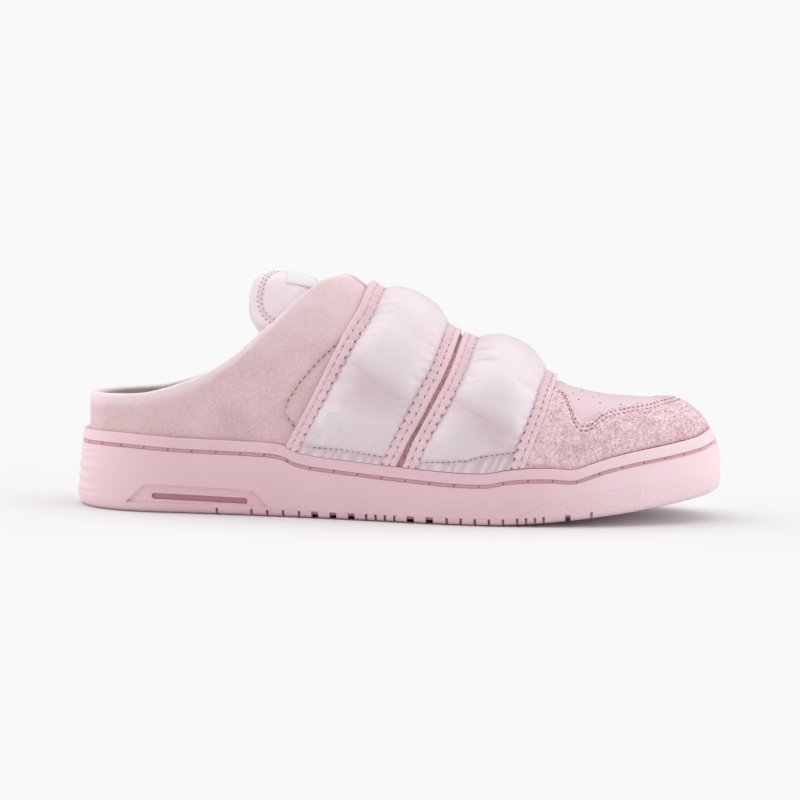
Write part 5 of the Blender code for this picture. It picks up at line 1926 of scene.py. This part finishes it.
def make_strap(name, edges, puff, hem, creases):
    """The puffed sheet of a strap, its sides tucked under the bindings."""
    inset = BINDING_WIDTH - TUCK
    even = np.linspace(0, 1, STRAP_COLUMNS)[None, :]
    across = mix((1 - np.cos(pi * even)) / 2, even, 0.5)
    rise = np.linspace(-1, 1, STRAP_ROWS)[:, None]
    along, turn, share = places_between(((edges, "rear", inset), (edges, "front", -inset)), across, rise)
    around = side_of(rise) * (1 - turn)
    seam = smooth(hem, "share", along)
    above = np.clip((share - seam) / SWELL_RISE, 0, 1)
    places = lengths_over(on_last(along, around, LAP_GAP))
    over, width = places[..., 0], places[:, -1:, 0]
    inner = np.clip((over - TUCK) / (width - 2 * TUCK), 0, 1)
    swell = np.sin(pi * inner) ** PUFF_ROUND * np.sin(pi / 2 * above) ** SWELL_ROUND
    relief, shade = strap_relief(places, across, share, seam, creases)
    under = np.clip(1 - np.minimum(over, width - over) / TUCK, 0, 1)
    base = LAP_GAP + STRAP_THICKNESS - TUCK_DROP * ease(under * 1.5)
    front = on_last(along, around, base + puff * swell + relief)
    back = on_last(along, around, LAP_GAP)
    pinned = (under > 0) | (share < seam + HEM_HELD)
    pinned[[0, -1]] = True
    front = simulate_cloth(name + "_cloth", front, pinned.astype(float))
    # Painted shade along both tucks.
    for beside in (over - TUCK, width - TUCK - over):
        shade = shade + TUCK_SHADE * np.exp(-((beside / TUCK_SHADE_RUN) ** 2))
    piece = make_sheet(name + "_sheet", front, back, [SATIN], shade=shade)
    settle(piece, "satin", name)
    stitches = []
    for side in (-1, 1):
        line = mix(hem[0].along, hem[-1].along, np.linspace(*HEM_RUN))
        turned = side * (1 - turn_of(line, smooth(hem, "share", line)))
        points, outs = with_normals(on_last, line, turned)
        stitches.append((points + outs * (LAP_GAP + STRAP_THICKNESS + HEM_LIFT), outs))
    dash = pit_mesh(*HEM_STITCH)
    settle(repeat(name + "_hem_stitches", stitches, dash, HEM_PITCH, HOLE_SHADE, HEM_WANDER), "satin")


STRAP_SATIN = (241, 230, 236), (215, 189, 199), (250, 243, 247)
SATIN = make_satin("strap_satin", STRAP_SATIN, 380.0, 0.5)
make_strap("strap_rear", STRAP_REAR, REAR_PUFF, HEM_REAR, CREASES_REAR)
make_strap("strap_front", STRAP_FRONT, FRONT_PUFF, HEM_FRONT, CREASES_FRONT)

# Each strap has a ribbed edging tape folded over its rear and its front edge. Two rows of
# stitches hold it: one down its middle, which ruffles it, and one where it meets the satin.
# Starts, runs and places are in shares of the tape's width, dips in shares of its thickness.
BINDING_END = 0.45
BINDING_ROUND = 0.14
BINDING_HOLLOW = 1.15 * MM
HOLLOW_START = 0.70
HOLLOW_RUN = 0.08
TAPE_SWAY = 0.06
TAPE_ROWS = 301
TAPE_SEAM_RUN = (-0.995, 0.995, 500)
SEAM_DIP = 0.10
SEAM_PULL = 0.16
INNER_DIP = 0.30
INNER_START, INNER_RUN = 0.86, 0.14
RUFFLE = 0.08
RUFFLE_START, RUFFLE_RUN = 0.4, 0.4
# Painted shade in the middle stitch row's dip and under the inner edge, where the satin tucks under.
ROW_SHADE = 0.30
INNER_SHADE = 0.35
INNER_SHADE_START, INNER_SHADE_RUN = 0.88, 0.10
TAPE_RIB = 0.8 * MM
TAPE_STITCH = (1.15 * MM, 0.55 * MM, 0.06 * MM)
TAPE_PLACES = (
    0, 0.03, 0.08, 0.15, 0.24, 0.33, 0.39, 0.43, 0.47,
    0.52, 0.6, 0.68, 0.76, 0.83, 0.88, 0.93, 0.97, 1.0,
)

# The two rows of stitches. across: share of the tape's width. lift: share of its thickness.
TAPE_SEAMS = table("across lift", (0.43, 0.83), (0.88, 0.93))
TAPE_SEAM_WIDTH = 0.055
TAPE_COLOURS = (250, 224, 229), (220, 175, 185), (254, 239, 243)
TAPE = make_tape("edge_tape", TAPE_COLOURS, TAPE_RIB)


def make_binding(name, edges, edge):
    """A tape folded over a strap's edge, ruffled by a row of stitches along its inside."""
    inward = BINDING_WIDTH if edge == "rear" else -BINDING_WIDTH
    across = np.array(TAPE_PLACES)[None, :]
    rise = np.linspace(-1, 1, TAPE_ROWS)[:, None]

    def tape_places(width, across, rise):
        along, turn, _ = places_between(((edges, edge, 0.0), (edges, edge, width)), across, rise)
        return along, side_of(rise) * (1 - turn)

    run = lengths_over(on_last(*tape_places(inward, across, rise)))[:, -1:, 1]
    beat = np.cos(2 * pi * run / SEW_PITCH)
    places = tape_places(inward * (1 - TAPE_SWAY * beat), across, rise)
    row = np.exp(-(((across - TAPE_SEAMS[0].across) / TAPE_SEAM_WIDTH) ** 2))
    pull = 0.5 + 0.5 * beat
    dips = row * (SEAM_DIP + SEAM_PULL * pull) + INNER_DIP * ease((across - INNER_START) / INNER_RUN)
    waves = -RUFFLE * beat * ease((across - RUFFLE_START) / RUFFLE_RUN)
    profile = mix(BINDING_END, 1.0, round_edge(across / BINDING_ROUND)) - dips + waves
    front = on_last(*places, LAP_GAP + BINDING_THICKNESS * profile)
    hollow = BINDING_HOLLOW * ease((across - HOLLOW_START) / HOLLOW_RUN)
    back = on_last(*places, LAP_GAP + hollow + 0 * rise)
    # Painted shade in the stitch row and along the inner edge.
    inner = ease((across - INNER_SHADE_START) / INNER_SHADE_RUN)
    shade = (ROW_SHADE * row + INNER_SHADE * inner) * pull
    piece = make_sheet(f"{name}_tape_{edge}", front, back, [TAPE], shade=shade)
    settle(piece, "binding", f"{name}_binding_{edge}")
    paths = []
    fine = np.linspace(*TAPE_SEAM_RUN)
    for seam in TAPE_SEAMS:
        points, outs = with_normals(on_last, *tape_places(inward, seam.across + 0 * fine, fine))
        paths.append((points + outs * (LAP_GAP + BINDING_THICKNESS * seam.lift), outs))
    stitch = pit_mesh(*TAPE_STITCH)
    stitches = repeat(f"{name}_stitches_{edge}", paths, stitch, SEW_PITCH, HOLE_SHADE, STITCH_WANDER)
    settle(stitches, "binding")


for strap, edges in (("strap_rear", STRAP_REAR), ("strap_front", STRAP_FRONT)):
    make_binding(strap, edges, "rear")
    make_binding(strap, edges, "front")

# The studio is a pale floor in a white room that glows more past the toe and the heel. A broad
# lamp lights the shoe from above, and a faint one from the camera's side. The camera looks at
# the outer side of the shoe from a little above the floor.
FLOOR_SIZE = 8.0
ROOM_LIGHT = 0.19
SIDE_LIGHT = 1.45
BACKDROP = 0.955
VIEW_TURN = radians(4.0)
VIEW_RISE = radians(4.5)
VIEW_ROLL = radians(1.2)
VIEW_DISTANCE = 1.100
VIEW_TARGET = Vector((0.09516, 0.0, 0.04617))
SENSOR = 36.0
FRAME_PIXELS = 800
FOCAL_PIXELS = 2619.9
PAPER = 0.81
FLOOR_DROP = 0.15 * MM

# Sun lamps. strength: watts a square metre. spread: degrees over which the light comes.
LAMPS = table(
    "name strength spread aim",
    ("key", 1.72, 85, (0.03, -0.22, -1.0)),
    ("fill", 0.12, 60, (-0.4, 0.9, -0.35)),
)


def make_studio():
    """Floor, room light and lamps."""
    half = FLOOR_SIZE / 2
    corners = [(-half, -half, 0), (half, -half, 0), (half, half, 0), (-half, half, 0)]
    mesh = make_mesh("floor", corners, [(0, 1, 2, 3)])
    paper = bpy.data.materials.new("floor_paper")
    paper.use_nodes = True
    shader = paper.node_tree.nodes["Principled BSDF"]
    shader.inputs["Base Color"].default_value = (PAPER, PAPER, PAPER, 1.0)
    shader.inputs["Roughness"].default_value = 1.0
    shader.inputs["Specular IOR Level"].default_value = 0.0
    mesh.materials.append(paper)
    floor = link("floor", mesh)
    floor.location.z = -FLOOR_DROP
    world = bpy.data.worlds.new("studio")
    world.use_nodes = True
    tree = world.node_tree
    way = add_node(tree, "ShaderNodeTexCoord").outputs["Generated"]
    parts = add_node(tree, "ShaderNodeSeparateXYZ", {0: way}).outputs
    aside = ramp(tree, maths(tree, "ABSOLUTE", parts["X"]), 0.25, 0.95)
    glow = maths(tree, "ADD", ROOM_LIGHT, maths(tree, "MULTIPLY", aside, SIDE_LIGHT))
    seen = add_node(tree, "ShaderNodeLightPath").outputs["Is Camera Ray"]
    strength = add_node(tree, "ShaderNodeMix", {0: seen, 2: glow, 3: BACKDROP}).outputs[0]
    tree.links.new(strength, tree.nodes["Background"].inputs["Strength"])
    tree.nodes["Background"].inputs["Color"].default_value = (1.0, 1.0, 1.0, 1.0)
    bpy.context.scene.world = world
    for lamp in LAMPS:
        light = bpy.data.lights.new(lamp.name, "SUN")
        light.energy = lamp.strength
        light.angle = radians(lamp.spread)
        link(lamp.name, light).rotation_euler = Vector(lamp.aim).to_track_quat("-Z", "Y").to_euler()


def make_camera():
    """A long lens, turned and rolled as the picture shows the shoe."""
    back = Vector((sin(VIEW_TURN) * cos(VIEW_RISE), -cos(VIEW_TURN) * cos(VIEW_RISE), sin(VIEW_RISE)))
    level = Vector((cos(VIEW_TURN), sin(VIEW_TURN), 0.0))
    upright = back.cross(level)
    right = level * cos(VIEW_ROLL) + upright * sin(VIEW_ROLL)
    up = upright * cos(VIEW_ROLL) - level * sin(VIEW_ROLL)
    data = bpy.data.cameras.new("camera")
    data.sensor_width = SENSOR
    data.lens = SENSOR * FOCAL_PIXELS / FRAME_PIXELS
    camera = link("camera", data)
    turn = Matrix((right, up, back)).transposed().to_4x4()
    camera.matrix_world = Matrix.Translation(VIEW_TARGET + back * VIEW_DISTANCE) @ turn
    bpy.context.scene.camera = camera


make_studio()
make_camera()
bpy.context.scene.view_settings.view_transform = "Standard"
